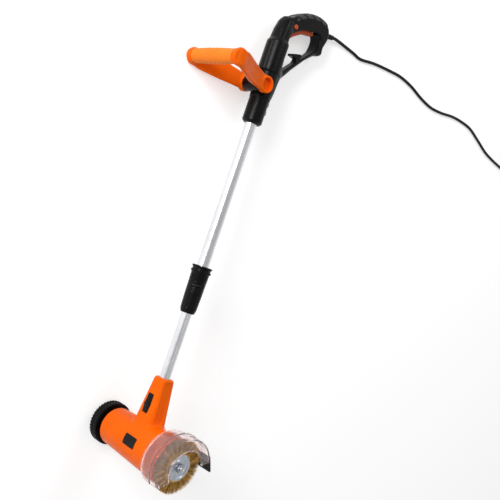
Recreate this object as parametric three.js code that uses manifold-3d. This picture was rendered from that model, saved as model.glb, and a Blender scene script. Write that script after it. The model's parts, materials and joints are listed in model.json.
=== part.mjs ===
// Corded electric weed brush with a telescopic pole, lying on its side as it is put down after use.
// The tool frame has x along the motor axis towards the brush, y up the pole and z to the front,
// with its zero where the motor axis crosses the pole axis. All lengths are in millimetres.
// The last section lays the tool on the floor: +Y then runs up the pole and +Z is up.
import * as THREE from 'three';
import { mergeVertices } from 'three/addons/utils/BufferGeometryUtils.js';
import Module from 'manifold-3d';

const wasm = await Module();
wasm.setup();

// Driving dimensions shared by several pieces
const clearance = 0.3;
const overrun = 6;
const shellSplit = 0.3;
// Share of a rounding at which its one middle corner lies
const roundingShare = 0.3;

// Motor housing: a slightly tapered drum along the motor axis
const housing = {
  wheelEnd: -94,
  guardEnd: 62,
  wheelEndRadius: 38,
  endRounding: 4,
  endWall: 3,
  motorWall: 1.7,
  motorEnd: 1,
  gearWall: 4.8,
  bulkheadFrom: -84.5,
  bulkheadTo: -76.6,
};

const motorRoom = housing.wheelEndRadius - housing.motorWall;

// Neck that carries the pole: a tapering rounded square on the drum
const neck = {
  foot: 8,
  flareTop: 34,
  top: 134,
  footHalf: 31,
  flareHalf: 25.2,
  topHalf: 17.5,
  corner: 12,
  topRounding: 5,
  wall: 2.8,
  hollowTop: 52,
  boreBottom: 56,
};

// Two-stage pole
const pole = {
  lowerRadius: 11,
  lowerWall: 1.2,
  lowerBottom: 57,
  lowerTop: 560,
  upperRadius: 12.4,
  upperWall: 1,
  upperBottom: 292,
  upperTop: 716,
};

// Pole clamp: a flanged body fixed on the upper tube and a twist nut below it
const clamp = {
  mouthLength: 22,
  chamferLength: 7,
  shoulderGap: 2,
  seatLength: 34,
  bodyLength: 25,
  ringHeight: 5,
  grooveHeight: 4.5,
  flangeHeight: 4,
  bottomRadius: 14.2,
  chamferRadius: 16.4,
  seamRadius: 17.8,
  bodyRadius: 18.4,
  ringRadius: 20.6,
  grooveRadius: 18.6,
};
const clampShoulder = pole.upperBottom - clamp.shoulderGap;
const clampBottom = clampShoulder - clamp.mouthLength;
const clampSeam = pole.upperBottom + clamp.seatLength;
const clampBodyTop = clampSeam + clamp.bodyLength;
const clampRingTop = clampBodyTop + clamp.ringHeight;
const clampFlange = clampRingTop + clamp.grooveHeight;
const clampTop = clampFlange + clamp.flangeHeight;

// Motor: shaft, armature, stator and brush gear on the motor axis
const motor = {
  shaftRadius: 4,
  shaftStart: -87,
  shaftStep: 29,
  shaftEnd: 44,
  pinionSeatRadius: 2.4,
  coreStart: -46,
  coreEnd: 0,
  coreRadius: 20,
  windingRadius: 16,
  windingStart: -51,
  windingEnd: 3.5,
  statorRadius: 36,
  yokeRadius: 28.5,
  poleRadius: 20.6,
  coilInner: 21.2,
  coilOuter: 27.5,
  coilOverhang: 7,
  commutatorStart: -72,
  commutatorEnd: -54,
  commutatorRadius: 12,
  fanStart: 5.5,
  fanEnd: 13,
  fanRadius: 33,
  fanHubRadius: 9,
  fanDisc: 2,
  fanBlade: 1.6,
};
const poleHalfAngle = THREE.MathUtils.degToRad(52);
const coilHalfAngle = THREE.MathUtils.degToRad(34);
const fanBlades = 7;

const carbon = {
  from: -66.5,
  to: -59.5,
  half: 4,
  tip: 12.3,
  back: 25,
  holderWall: 1.6,
  holderInner: 15,
  holderOuter: 34.9,
  springGap: 3,
};

// Ball bearings, each drawn as one ring
const rotorBearing = { bore: 4, outer: 11, width: 6.6, rearStart: -83.9, frontStart: 21.4 };
const spindleBearing = { bore: 6, outer: 16, width: 10, start: 52.6 };

// Planetary gears
const gears = {
  module: 1.25,
  sunFrom: 30,
  sunTo: 43.4,
  planetFrom: 31,
  planetTo: 43,
  ringFrom: 29.6,
  ringTo: 45,
};
const sunTeeth = 10;
const planetTeeth = 14;
const ringTeeth = 38;
const planetCount = 3;
const toothShares = { slope: 0.364, backlash: 0.22, addendum: 0.95, dedendum: 1.25 };
const halfToothPitch = Math.PI / 4;
const gearRingRim = 5.75;

const bracket = { from: 16, to: 46, bearingLip: 3, lipRadius: 8, ringGap: 0.9, wall: 8.4375 };
const gearRingOuter = gears.module * (ringTeeth / 2 + toothShares.dedendum) + gearRingRim;
const boxRadius = gearRingOuter + bracket.ringGap + bracket.wall;
const gearRoom = boxRadius + clearance;
const guardEndRadius = gearRoom + housing.gearWall;
const carrier = { discFrom: 45.4, discTo: 49.6, discRadius: 22.5, pinRadius: 2.5, pinFrom: 31.5 };
const spindle = { radius: 6, collarFrom: 90, collarTo: 96, collarRadius: 11, threadRadius: 5, end: 124 };

// Cover that closes the gearbox and carries the guard
const cover = {
  from: 46.3,
  pocketTo: 50.6,
  pocketRadius: 23.5,
  throatRadius: 9,
  collarRise: 3.7,
  collarTo: 70,
  noseRadius: 24,
  noseTo: 77,
  lipRadius: 7.5,
  lip: 2.4,
};
const collarRadius = guardEndRadius + cover.collarRise;

// Clear guard round the brush: a stepped drum with an inward lip at its open end
const guard = {
  innerFrom: 64.2,
  ringTo: 67,
  ringWall: 2,
  shoulderTo: 74,
  shoulderDrop: 2.9,
  ribAt: 104,
  ribWidth: 2.4,
  ribHeight: 1.6,
  brushGap: 8.9,
  end: 130,
  endDrop: 0.8,
  wall: 2.2,
  lipWidth: 22.1,
  fit: 0.6,
};
const guardFront = THREE.MathUtils.degToRad(56);
const guardRear = THREE.MathUtils.degToRad(252);

// Rubber flap behind the guard's rear edge
const flap = { from: 78, to: 128.5, seatAngle: 61.779, lift: 0.441, drop: 31, spread: 14.9, thickness: 2 };

// Wire wheel
const brush = {
  hubFrom: 96.3,
  hubTo: 114,
  discRadius: 25.5,
  disc: 2.5,
  coreRadius: 9,
  boreGap: 0.4,
  ringGap: 0.3,
  backingInner: 15,
  backingOuter: 27,
  radius: 52.5,
  strand: 0.9,
  strandTipShare: 0.55,
  flareShare: 0.35,
  nutFrom: 114.3,
  nutTo: 121,
  nutRadius: 9,
};
const nutSides = 6;
const guardWall = brush.radius + guard.brushGap;
const guardEnd = guardWall - guard.endDrop;
const flapSeat = guardWall + guard.ribHeight + flap.lift;
const strandRows = 6;
const strandColumns = 50;

// Guide wheel on a stub axle at the other end of the motor
const wheel = {
  outerFace: -121,
  innerFace: -100.5,
  tyreOuter: 44,
  tyreFloor: 41.8,
  tyreInner: 37,
  rim: 3,
  web: 4,
  webFrom: -112,
  hubRadius: 10,
  hubFrom: -116,
  hubTo: -95.2,
  axleRadius: 4,
  axleEnd: -88,
  axleHeadRadius: 8,
  axleHead: 3,
};
const treadLugs = 24;
const lugShare = 0.62;

const plate = { from: -10.5, to: 25.5, bottomY: -4, topY: 16.5, thickness: 1.4, sink: 0.7 };

// Release button in the front of the neck, a two-sided wedge with a ridge
const button = {
  bottom: 62,
  top: 100,
  ridge: 79,
  endHalf: 7.2,
  ridgeHalf: 8.8,
  back: 14.5,
  bottomFront: 22.4,
  ridgeFront: 23.2,
  topFront: 20,
  pocketBack: 11.8,
};

// Rear handle. Outlines are in z and y, as the side view shows them
const handle = {
  bottom: 663,
  bottomRounding: 5,
  sleeveRadius: 20.5,
  sleeveLength: 53,
  throatRadius: 21.5,
  throatLength: 56,
  barrelRadius: 23.6,
  barrelLength: 62,
  shoulder: 7,
  noseRadius: 18.8,
  noseLength: 50,
  wall: 3,
  panelHalf: 15.5,
  panelBevel: 4.5,
  cavityHalf: 12,
  leadPassage: 2.9,
  leadPassageBottom: 712,
  leadPassageTop: 775,
  leadPassageZ: -4,
};
const sleeveTop = handle.bottom + handle.sleeveLength;
const barrelFrom = sleeveTop + handle.throatLength;
const barrelTo = barrelFrom + handle.barrelLength;
const noseFrom = barrelTo + handle.shoulder;
// Places along the nose's length and its radii there, both as shares
const noseShares = { mid: 0.42, midRadius: 0.9468, high: 0.76, highRadius: 0.734 };
const noseTop = noseFrom + handle.noseLength;
const noseMid = noseFrom + handle.noseLength * noseShares.mid;
const noseHigh = noseFrom + handle.noseLength * noseShares.high;
const noseMidRadius = handle.noseRadius * noseShares.midRadius;
const noseHighRadius = handle.noseRadius * noseShares.highRadius;
const panelPoints = [
  [6, 884], [-8, 896], [-20, 906], [-41, 920], [-70, 930], [-92, 932], [-108, 928.5], [-118, 919],
  [-121.5, 905], [-119, 892], [-115.5, 879], [-120, 868], [-113, 861.5], [-102, 858], [-31, 772],
  [-23, 752], [-16, 728], [6, 728],
];
const openingPoints = [
  [-12.5, 834], [-10.5, 846], [-14, 858.5], [-33, 876.5], [-55, 889], [-75, 895], [-79, 885],
  [-79, 869], [-75, 855], [-58, 837], [-31, 809.5], [-21, 806.5], [-15.5, 813],
];
const cavityPoints = [
  [2, 866], [-4, 880], [-22, 897], [-43, 910.5], [-70, 920.5], [-92, 922.5], [-104, 919],
  [-111, 911], [-110, 900], [-84, 903], [-56, 897], [-34, 886], [-16, 868],
];
const slotPoints = [
  [-17, 838], [4, 838], [4, 862], [-9, 884], [-31, 898], [-54, 907], [-81, 910], [-81, 886], [-55, 886],
];
const triggerPoints = [
  [-16.5, 842], [-19.5, 854], [-37, 870], [-56, 882.5], [-75.5, 888.5], [-77.5, 893], [-77, 903],
  [-54, 898], [-32, 886.5], [-13, 869], [-6, 851], [-6.5, 842],
];
const trigger = { half: 7, pivotZ: -71, pivotY: 896.5, pinRadius: 2, pinHalf: 11.4, slotGap: 0.4 };
const hookPoints = [[-46, 822], [-41, 828], [-30, 823], [-28.5, 826], [-46, 839], [-53, 836], [-55, 832]];
const hook = { half: 7 };

const padPoints = [
  [-12, 899.4], [-20, 905.5], [-41, 919.6], [-70, 929.7], [-92, 931.6], [-106, 929],
  [-105, 925.6], [-92, 927.8], [-71, 925.9], [-43, 916.2], [-23, 903],
];
const pad = { half: 9 };

const lockOff = { y: 879, z: -18, radius: 5, flangeRadius: 5.9, inner: 9.5, flangeTo: 11.3, outer: 17.6 };
const powerSwitch = { bottom: 826, top: 854, back: 2, front: 12.4, half: 6.9 };

// Cord sleeve on the rear face of the handle, and the free cord
const sleeve = {
  y: 912.5,
  z: -117,
  length: 32,
  rootRadius: 6.3,
  endRadius: 4.9,
  flangeRadius: 7.6,
  flange: 3,
  seat: 8.5,
};
const sleeveTilt = THREE.MathUtils.degToRad(15);
const cord = { radius: 3.5, insideHandle: 12, lift: 0.25, step: 16, stub: 7 };
// Places of the free cord on the floor, from the handle to the coil, measured from the tool's zero
const cordPlaces = [
  [222.8, 914.5], [246.2, 912.5], [292.3, 922.7], [344.1, 929.9], [386.9, 933.7], [435.9, 929.5],
  [475.6, 921], [524.1, 915.2], [567.6, 919], [614.3, 928.1], [655.9, 931.3], [699.5, 929.5],
  [747, 916.5], [800.8, 900.4], [842.7, 893.9], [888.3, 889.5],
];
const coil = { x: 936, y: 888, outer: 46, pitch: 7.6, rise: 7.6 };
const coilTurns = 4;
const coilSteps = 24;
const cordSides = 8;
const coilSides = 6;
const climbTurns = 0.5;
// Heights of the cord's end between the coil and the plug, at their distances from the coil
const tailPlaces = [[45, 9.6], [85, 7.6], [112, 7.1]];
const plug = {
  gap: 120,
  centre: 7.1,
  neckRadius: 5.6,
  neck: 14,
  body: 26,
  width: 33,
  faceWidth: 27,
  thickness: 13.6,
  pinRadius: 2.2,
  pinSpacing: 18.6,
  pinLength: 19,
  pinSeat: 6,
  stepOut: 2,
};
const lead = { radius: 2.5, offset: 4.8, upperEnd: 300, lowerStart: 38, lowerEnd: 440 };

// Front D handle: pivot barrel between two cups, arms and a cross grip
const front = {
  y: 738,
  z: 24,
  barrelRadius: 15.5,
  barrelHalf: 21.5,
  stubRadius: 9,
  cupWidth: 10.7,
  cupWeb: 1.2,
  cupRadius: 16.6,
  recessRadius: 12.6,
  recessDepth: 5,
  armHeight: 27,
  armThickness: 8,
  gripY: 740,
  gripZ: 141,
  gripHalf: 55,
  flangeWidth: 13,
  armRoot: 5.2,
  armEnd: 9,
  flangeRadius: 17.2,
  gripEndRadius: 13.4,
  gripMidRadius: 15,
  barRadius: 9,
};
const cupInner = front.barrelHalf + clearance;
const cupOuter = cupInner + front.cupWidth;
const stubHalf = cupOuter - front.recessDepth - front.cupWeb - clearance;
const gripEndHalf = front.gripHalf + front.flangeWidth;
const armShares = [[0, 0], [0.1216, 0.2051], [0.3784, 0.4615], [0.7568, 0.7179], [1, 1]];
const armPoints = armShares.map(([across, out]) => [
  THREE.MathUtils.lerp(cupInner + front.armRoot, front.gripHalf + front.armEnd, across),
  THREE.MathUtils.lerp(front.z, front.gripZ, out),
]);

const headScrews = { radius: 1.7, headRadius: 3.2, head: 2.4, length: 26, wheelEndX: -80.5, wheelEndY: 27 };

// Facet counts: the plate's skin, visible drums, arcs, other round pieces, pieces inside, pins and small arcs
const facets = { plate: 84, drum: 28, fine: 16, round: 18, inner: 12, pin: 8, few: 6 };

// Finishes
const orange = { color: 0xff6b18, roughness: 0.42, metalness: 0 };
const gripOrange = { color: 0xff7f22, roughness: 0.6, metalness: 0 };
const triggerOrange = { color: 0xc45020, roughness: 0.5, metalness: 0 };
const black = { color: 0x1b1b1d, roughness: 0.55, metalness: 0 };
const softBlack = { color: 0x232325, roughness: 0.75, metalness: 0 };
const rubber = { color: 0x161617, roughness: 0.85, metalness: 0 };
const aluminium = { color: 0xd4d5d8, roughness: 0.3, metalness: 1 };
const steel = { color: 0x9a9ca1, roughness: 0.35, metalness: 1 };
const zinc = { color: 0xb4b8be, roughness: 0.35, metalness: 1 };
const brass = { color: 0xb08a3c, roughness: 0.4, metalness: 1 };
const copper = { color: 0xb06a3a, roughness: 0.4, metalness: 1 };
const darkSteel = { color: 0x5a5c60, roughness: 0.5, metalness: 1 };
const clear = { color: 0xd9d6d8, roughness: 0.08, metalness: 0, transparent: true, opacity: 0.35 };
const plateGrey = { color: 0x3a3a3c, roughness: 0.5, metalness: 0 };

// One closed skin with shared corners, no slivers and its faces turned outwards
function closed(geometry) {
  const bare = geometry.clone();
  for (const name of Object.keys(bare.attributes)) {
    if (name !== 'position') bare.deleteAttribute(name);
  }
  const merged = mergeVertices(bare);
  const corners = merged.index.array;
  const kept = [];
  for (let i = 0; i < corners.length; i += 3) {
    const [a, b, c] = [corners[i], corners[i + 1], corners[i + 2]];
    if (a !== b && b !== c && c !== a) kept.push(a, b, c);
  }
  const at = (i) => new THREE.Vector3().fromBufferAttribute(merged.attributes.position, i);
  let volume = 0;
  for (let i = 0; i < kept.length; i += 3) {
    volume += at(kept[i]).dot(at(kept[i + 1]).cross(at(kept[i + 2])));
  }
  if (volume < 0) kept.reverse();
  merged.setIndex(kept);
  return merged;
}

function solid(geometry) {
  const skin = closed(geometry);
  return new wasm.Manifold(new wasm.Mesh({
    numProp: 3,
    vertProperties: Float32Array.from(skin.attributes.position.array),
    triVerts: Uint32Array.from(skin.index.array),
  }));
}

function surface(body) {
  const mesh = body.getMesh();
  const geometry = new THREE.BufferGeometry();
  geometry.setAttribute('position', new THREE.BufferAttribute(Float32Array.from(mesh.vertProperties), 3));
  geometry.setIndex(Array.from(mesh.triVerts));
  return geometry;
}

function join(first, ...others) {
  return others.reduce((body, other) => body.add(solid(other)), solid(first));
}

function cut(body, ...tools) {
  return tools.reduce((rest, tool) => rest.subtract(solid(tool)), body);
}

// Turned shapes: outlines are pairs of radius and place along the axis
function turned(outline, count) {
  return new THREE.LatheGeometry(outline.map(([radius, along]) => new THREE.Vector2(radius, along)), count);
}

function onMotor(geometry) {
  return geometry.rotateZ(-Math.PI / 2);
}

function rod(radius, from, to, count = facets.inner) {
  return turned([[0, from], [radius, from], [radius, to], [0, to]], count);
}

function ring(inner, outer, from, to, count = facets.inner) {
  return turned([[inner, from], [outer, from], [outer, to], [inner, to], [inner, from]], count);
}

function rodAlongZ(radius, from, to, count = facets.pin) {
  return rod(radius, from, to, count).rotateX(Math.PI / 2);
}

function block(x0, x1, y0, y1, z0, z1) {
  const geometry = new THREE.BoxGeometry(x1 - x0, y1 - y0, z1 - z0);
  return geometry.translate((x0 + x1) / 2, (y0 + y1) / 2, (z0 + z1) / 2);
}

// A shape drawn in z and y, extruded along x
function alongX(shape, from, to, options = {}) {
  const bevel = options.bevel ?? 0;
  const geometry = new THREE.ExtrudeGeometry(shape, {
    depth: to - from - 2 * bevel,
    curveSegments: options.curveSegments ?? facets.pin,
    bevelEnabled: bevel > 0,
    bevelSize: bevel,
    bevelOffset: -bevel,
    bevelThickness: bevel,
    bevelSegments: 1,
  });
  return geometry.rotateY(-Math.PI / 2).translate(to - bevel, 0, 0);
}

function outlineShape(points) {
  const corners = points.map(([z, y]) => new THREE.Vector2(z, y));
  return new THREE.Shape(THREE.ShapeUtils.isClockWise(corners) ? corners.reverse() : corners);
}

// An outline moved outwards by the same distance along all its edges
function grown(points, by) {
  const corners = points.map(([z, y]) => new THREE.Vector2(z, y));
  const sign = THREE.ShapeUtils.isClockWise(corners) ? -1 : 1;
  return corners.map((corner, i) => {
    const before = corners[(i + corners.length - 1) % corners.length];
    const after = corners[(i + 1) % corners.length];
    const first = corner.clone().sub(before).normalize();
    const second = after.clone().sub(corner).normalize();
    const outward = new THREE.Vector2(first.y + second.y, -first.x - second.x);
    outward.multiplyScalar(sign * by * 2 / outward.lengthSq());
    return [corner.x + outward.x, corner.y + outward.y];
  });
}

function sector(inner, outer, centre, half, from, to, curveSegments) {
  const shape = new THREE.Shape();
  shape.absarc(0, 0, outer, centre - half, centre + half, false);
  shape.absarc(0, 0, inner, centre + half, centre - half, true);
  shape.closePath();
  return alongX(shape, from, to, { curveSegments });
}

// A skin through rings of as many points each, closed by fans at both ends
function loft(rings) {
  const corners = [];
  const count = rings[0].length;
  const middle = (points) => points.reduce((sum, p) => sum.add(p), new THREE.Vector3()).divideScalar(count);
  for (let r = 0; r < rings.length - 1; r += 1) {
    for (let i = 0; i < count; i += 1) {
      const j = (i + 1) % count;
      const [a, b, c, d] = [rings[r][i], rings[r][j], rings[r + 1][j], rings[r + 1][i]];
      corners.push(a, b, c, a, c, d);
    }
  }
  const [first, last] = [rings[0], rings[rings.length - 1]];
  for (let i = 0; i < count; i += 1) {
    const j = (i + 1) % count;
    corners.push(middle(first), first[j], first[i], middle(last), last[i], last[j]);
  }
  return new THREE.BufferGeometry().setFromPoints(corners);
}

const cornerSteps = 4;

function roundedSquare(half, corner, height) {
  const points = [];
  for (let quarter = 0; quarter < 4; quarter += 1) {
    const middle = Math.PI / 4 + quarter * Math.PI / 2;
    const reach = (half - corner) * Math.SQRT2;
    for (let step = 0; step < cornerSteps; step += 1) {
      const angle = quarter * Math.PI / 2 + step / (cornerSteps - 1) * Math.PI / 2;
      points.push(new THREE.Vector3(
        reach * Math.sin(middle) + corner * Math.sin(angle),
        height,
        reach * Math.cos(middle) + corner * Math.cos(angle),
      ));
    }
  }
  return points;
}

// Gear outline with straight flanks; allowance widens the teeth, or narrows them if negative
function gearShape(teeth, tip, root, allowance) {
  const pitchRadius = gears.module * teeth / 2;
  const points = [];
  const halfAt = (radius) => {
    const middle = halfToothPitch * gears.module + allowance;
    return (middle - (radius - pitchRadius) * toothShares.slope) / radius;
  };
  for (let tooth = 0; tooth < teeth; tooth += 1) {
    const angle = tooth / teeth * Math.PI * 2;
    for (const [radius, side] of [[root, -1], [tip, -1], [tip, 1], [root, 1]]) {
      const turn = angle + side * halfAt(radius);
      points.push(new THREE.Vector2(radius * Math.cos(turn), radius * Math.sin(turn)));
    }
  }
  return new THREE.Shape(points);
}

function circleHole(radius, x = 0, y = 0) {
  const path = new THREE.Path();
  path.absarc(x, y, radius, 0, Math.PI * 2, true);
  return path;
}

const group = new THREE.Group();
const tool = new THREE.Group();
group.add(tool);

function piece(name, shape, finish, parent = tool) {
  const geometry = shape.isBufferGeometry ? closed(shape) : surface(shape);
  const mesh = new THREE.Mesh(geometry, new THREE.MeshStandardMaterial(finish));
  mesh.name = name;
  parent.add(mesh);
  return mesh;
}

// Motor housing and neck
function housingRadiusAt(x) {
  const share = (x - housing.wheelEnd) / (housing.guardEnd - housing.wheelEnd);
  return THREE.MathUtils.lerp(housing.wheelEndRadius, guardEndRadius, share);
}

function headOutside() {
  const endMiddle = housing.endRounding * roundingShare;
  const topMiddle = neck.topRounding * roundingShare;
  const drum = onMotor(turned([
    [0, housing.wheelEnd],
    [housing.wheelEndRadius - housing.endRounding, housing.wheelEnd],
    [housing.wheelEndRadius - endMiddle, housing.wheelEnd + endMiddle],
    [housingRadiusAt(housing.wheelEnd + housing.endRounding), housing.wheelEnd + housing.endRounding],
    [guardEndRadius, housing.guardEnd],
    [0, housing.guardEnd],
  ], facets.drum));
  const neckOutside = loft([
    roundedSquare(neck.footHalf, neck.corner, neck.foot),
    roundedSquare(neck.flareHalf, neck.corner, neck.flareTop),
    roundedSquare(neck.topHalf, neck.corner, neck.top - neck.topRounding),
    roundedSquare(neck.topHalf - topMiddle, neck.corner - topMiddle, neck.top - topMiddle),
    roundedSquare(neck.topHalf - neck.topRounding, neck.corner - neck.topRounding, neck.top),
  ]);
  return join(drum, neckOutside);
}

function buttonOutline(grow) {
  const [bottom, top] = [button.bottom - grow, button.top + grow];
  const [end, middle] = [button.endHalf + grow, button.ridgeHalf + grow];
  return new THREE.Shape([
    new THREE.Vector2(-end, bottom),
    new THREE.Vector2(end, bottom),
    new THREE.Vector2(middle, button.ridge),
    new THREE.Vector2(end, top),
    new THREE.Vector2(-end, top),
    new THREE.Vector2(-middle, button.ridge),
  ]);
}

function screwSeats(grow) {
  const rows = [
    [headScrews.wheelEndX, headScrews.wheelEndY],
    [headScrews.wheelEndX, -headScrews.wheelEndY],
  ];
  return rows.map(([x, y]) => {
    const [shank, head] = [headScrews.radius + grow, headScrews.headRadius + grow];
    const seat = -headScrews.length / 2;
    const outline = [
      [0, seat - headScrews.head - grow], [head, seat - headScrews.head - grow], [head, seat],
      [shank, seat], [shank, headScrews.length / 2 + grow], [0, headScrews.length / 2 + grow],
    ];
    const deep = turned(outline, facets.pin).rotateX(Math.PI / 2);
    const access = rodAlongZ(head, seat - headScrews.head - clearance - guardEndRadius, seat);
    return { screw: deep.translate(x, y, 0), access: access.translate(x, y, 0) };
  });
}

const bearingBore = rotorBearing.outer + clearance;

function headHollow() {
  const chamber = onMotor(turned([
    [0, housing.wheelEnd + housing.endWall],
    [motorRoom - housing.endWall, housing.wheelEnd + housing.endWall],
    [motorRoom - housing.endWall, housing.bulkheadFrom],
    [bearingBore, housing.bulkheadFrom],
    [bearingBore, housing.bulkheadTo],
    [motorRoom, housing.bulkheadTo],
    [motorRoom, housing.motorEnd],
    [gearRoom, housing.motorEnd],
    [gearRoom, housing.guardEnd + overrun],
    [0, housing.guardEnd + overrun],
  ], facets.round));
  const neckHollow = loft([
    roundedSquare(neck.flareHalf - neck.wall, neck.corner - neck.wall, neck.foot),
    roundedSquare(neck.flareHalf - neck.wall * 2, neck.corner - neck.wall, neck.hollowTop),
  ]);
  return join(
    chamber,
    neckHollow,
    rod(pole.lowerRadius + clearance, neck.boreBottom, neck.top + overrun, facets.round),
    rod(lead.radius + clearance, neck.hollowTop - overrun, neck.boreBottom + overrun, facets.pin)
      .translate(-lead.offset, 0, 0),
    rod(wheel.axleRadius + clearance, housing.wheelEnd - overrun, housing.wheelEnd + overrun, facets.inner)
      .rotateZ(-Math.PI / 2),
  );
}

function plateBlock(grow) {
  return block(plate.from - grow, plate.to + grow, plate.bottomY - grow, plate.topY + grow, 0,
    guardEndRadius + overrun);
}

function plateSkin(outward) {
  const [from, to] = [plate.from - overrun, plate.to + overrun];
  const outline = [
    [0, from], [housingRadiusAt(from) + outward, from], [housingRadiusAt(to) + outward, to], [0, to],
  ];
  return solid(onMotor(turned(outline, facets.plate)));
}

const plateBed = solid(plateBlock(clearance)).subtract(plateSkin(-plate.sink));
const pocket = new THREE.ExtrudeGeometry(buttonOutline(clearance), {
  depth: guardEndRadius,
  bevelEnabled: false,
}).translate(0, 0, button.pocketBack);
const seats = screwSeats(clearance);

const headBody = cut(
  headOutside().subtract(headHollow()).subtract(plateBed),
  pocket,
  ...seats.flatMap((seat) => [seat.screw, seat.access]),
);
const farEnough = guardEndRadius * 4;
const halfSpace = (sign) => block(-farEnough, farEnough, -farEnough, farEnough,
  sign > 0 ? shellSplit / 2 : -farEnough, sign > 0 ? farEnough : -shellSplit / 2);
piece('head_front_shell', headBody.intersect(solid(halfSpace(1))), orange);
piece('head_rear_shell', headBody.intersect(solid(halfSpace(-1))), orange);
screwSeats(0).forEach((seat, i) => piece(`head_screw_${i + 1}`, seat.screw, steel));

piece(
  'rating_plate',
  solid(plateBlock(0))
    .intersect(plateSkin(plate.thickness - plate.sink))
    .subtract(plateSkin(clearance - plate.sink)),
  plateGrey,
);

// Release button
const releaseButton = new THREE.Group();
tool.add(releaseButton);
const wedge = loft([
  [[-button.endHalf, button.bottom], [button.endHalf, button.bottom]],
  [[-button.ridgeHalf, button.ridge], [button.ridgeHalf, button.ridge]],
  [[-button.endHalf, button.top], [button.endHalf, button.top]],
].map(([left, right], row) => {
  const frontFace = [button.bottomFront, button.ridgeFront, button.topFront][row];
  return [
    new THREE.Vector3(left[0], left[1], button.back),
    new THREE.Vector3(right[0], right[1], button.back),
    new THREE.Vector3(right[0], right[1], frontFace),
    new THREE.Vector3(left[0], left[1], frontFace),
  ];
}));
piece('pole_release_button', wedge, black, releaseButton);

// Stator, coils and brush gear
const upward = Math.PI / 2;
const frontward = 0;
const statorYoke = onMotor(
  ring(motor.yokeRadius, motor.statorRadius, motor.coreStart, motor.coreEnd, facets.round),
);
const statorPoles = [frontward, frontward + Math.PI].map((angle) =>
  sector(motor.poleRadius, motor.yokeRadius + motor.coilOverhang / 2, angle, poleHalfAngle,
    motor.coreStart, motor.coreEnd, facets.pin));
piece('stator_core', join(statorYoke, ...statorPoles), darkSteel);
['upper', 'lower'].forEach((side, i) => {
  const coil = sector(motor.coilInner, motor.coilOuter, upward + i * Math.PI, coilHalfAngle,
    motor.coreStart - motor.coilOverhang, motor.coreEnd + motor.coilOverhang / 2, facets.pin / 2);
  piece(`field_coil_${side}`, coil, copper);
});
['front', 'rear'].forEach((side, i) => {
  const middleX = (carbon.from + carbon.to) / 2;
  const halfX = (carbon.to - carbon.from) / 2;
  const grow = carbon.holderWall + clearance;
  const outer = block(middleX - halfX - grow, middleX + halfX + grow, -carbon.half - grow, carbon.half + grow,
    carbon.holderInner, carbon.holderOuter);
  const inner = block(middleX - halfX - clearance, middleX + halfX + clearance, -carbon.half - clearance,
    carbon.half + clearance, carbon.holderInner - overrun, carbon.back + carbon.springGap);
  const turn = i * Math.PI;
  piece(`brush_holder_${side}`, cut(solid(outer), inner), brass).rotation.x = turn;
  const stick = block(carbon.from, carbon.to, -carbon.half, carbon.half, carbon.tip, carbon.back);
  piece(`carbon_brush_${side}`, stick, rubber).rotation.x = turn;
});

// Bearings, gear bracket and cover
function bearing(name, size, start) {
  piece(name, onMotor(ring(size.bore + clearance, size.outer, start, start + size.width)), steel);
}
bearing('armature_rear_bearing', rotorBearing, rotorBearing.rearStart);
bearing('armature_front_bearing', rotorBearing, rotorBearing.frontStart);
bearing('spindle_bearing', spindleBearing, spindleBearing.start);

piece('gear_bracket', onMotor(turned([
  [bracket.lipRadius, bracket.from],
  [boxRadius, bracket.from],
  [boxRadius, bracket.to],
  [gearRingOuter + bracket.ringGap, bracket.to],
  [gearRingOuter + bracket.ringGap, gears.ringFrom - clearance],
  [bearingBore, gears.ringFrom - clearance],
  [bearingBore, bracket.from + bracket.bearingLip],
  [bracket.lipRadius, bracket.from + bracket.bearingLip],
  [bracket.lipRadius, bracket.from],
], facets.round)), aluminium);

const pitchOf = (teeth) => gears.module * teeth / 2;
const tipOf = (teeth) => pitchOf(teeth) + gears.module * toothShares.addendum;
const rootOf = (teeth) => pitchOf(teeth) - gears.module * toothShares.dedendum;
const backlash = toothShares.backlash * gears.module;
const halfTooth = (teeth) => Math.PI / teeth;

const ringShape = new THREE.Shape();
ringShape.absarc(0, 0, gearRingOuter, 0, Math.PI * 2, false);
const ringSpaces = gearShape(
  ringTeeth,
  pitchOf(ringTeeth) + gears.module * toothShares.dedendum,
  pitchOf(ringTeeth) - gears.module * toothShares.addendum,
  backlash,
).getPoints();
ringShape.holes.push(new THREE.Path(ringSpaces.reverse()));
piece('ring_gear', alongX(ringShape, gears.ringFrom, gears.ringTo, { curveSegments: facets.fine }), darkSteel)
  .rotation.x = halfTooth(ringTeeth);

piece('gearbox_cover', onMotor(turned([
  [cover.pocketRadius, cover.from],
  [boxRadius, cover.from],
  [boxRadius, housing.guardEnd + clearance],
  [collarRadius, housing.guardEnd + clearance],
  [collarRadius, cover.collarTo],
  [cover.noseRadius, cover.collarTo],
  [cover.noseRadius - cover.lip, cover.noseTo],
  [cover.lipRadius, cover.noseTo],
  [cover.lipRadius, spindleBearing.start + spindleBearing.width + clearance],
  [spindleBearing.outer + clearance, spindleBearing.start + spindleBearing.width + clearance],
  [spindleBearing.outer + clearance, spindleBearing.start - clearance],
  [cover.throatRadius, spindleBearing.start - clearance],
  [cover.throatRadius, cover.pocketTo],
  [cover.pocketRadius, cover.pocketTo],
  [cover.pocketRadius, cover.from],
], facets.round)), orange);

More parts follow.
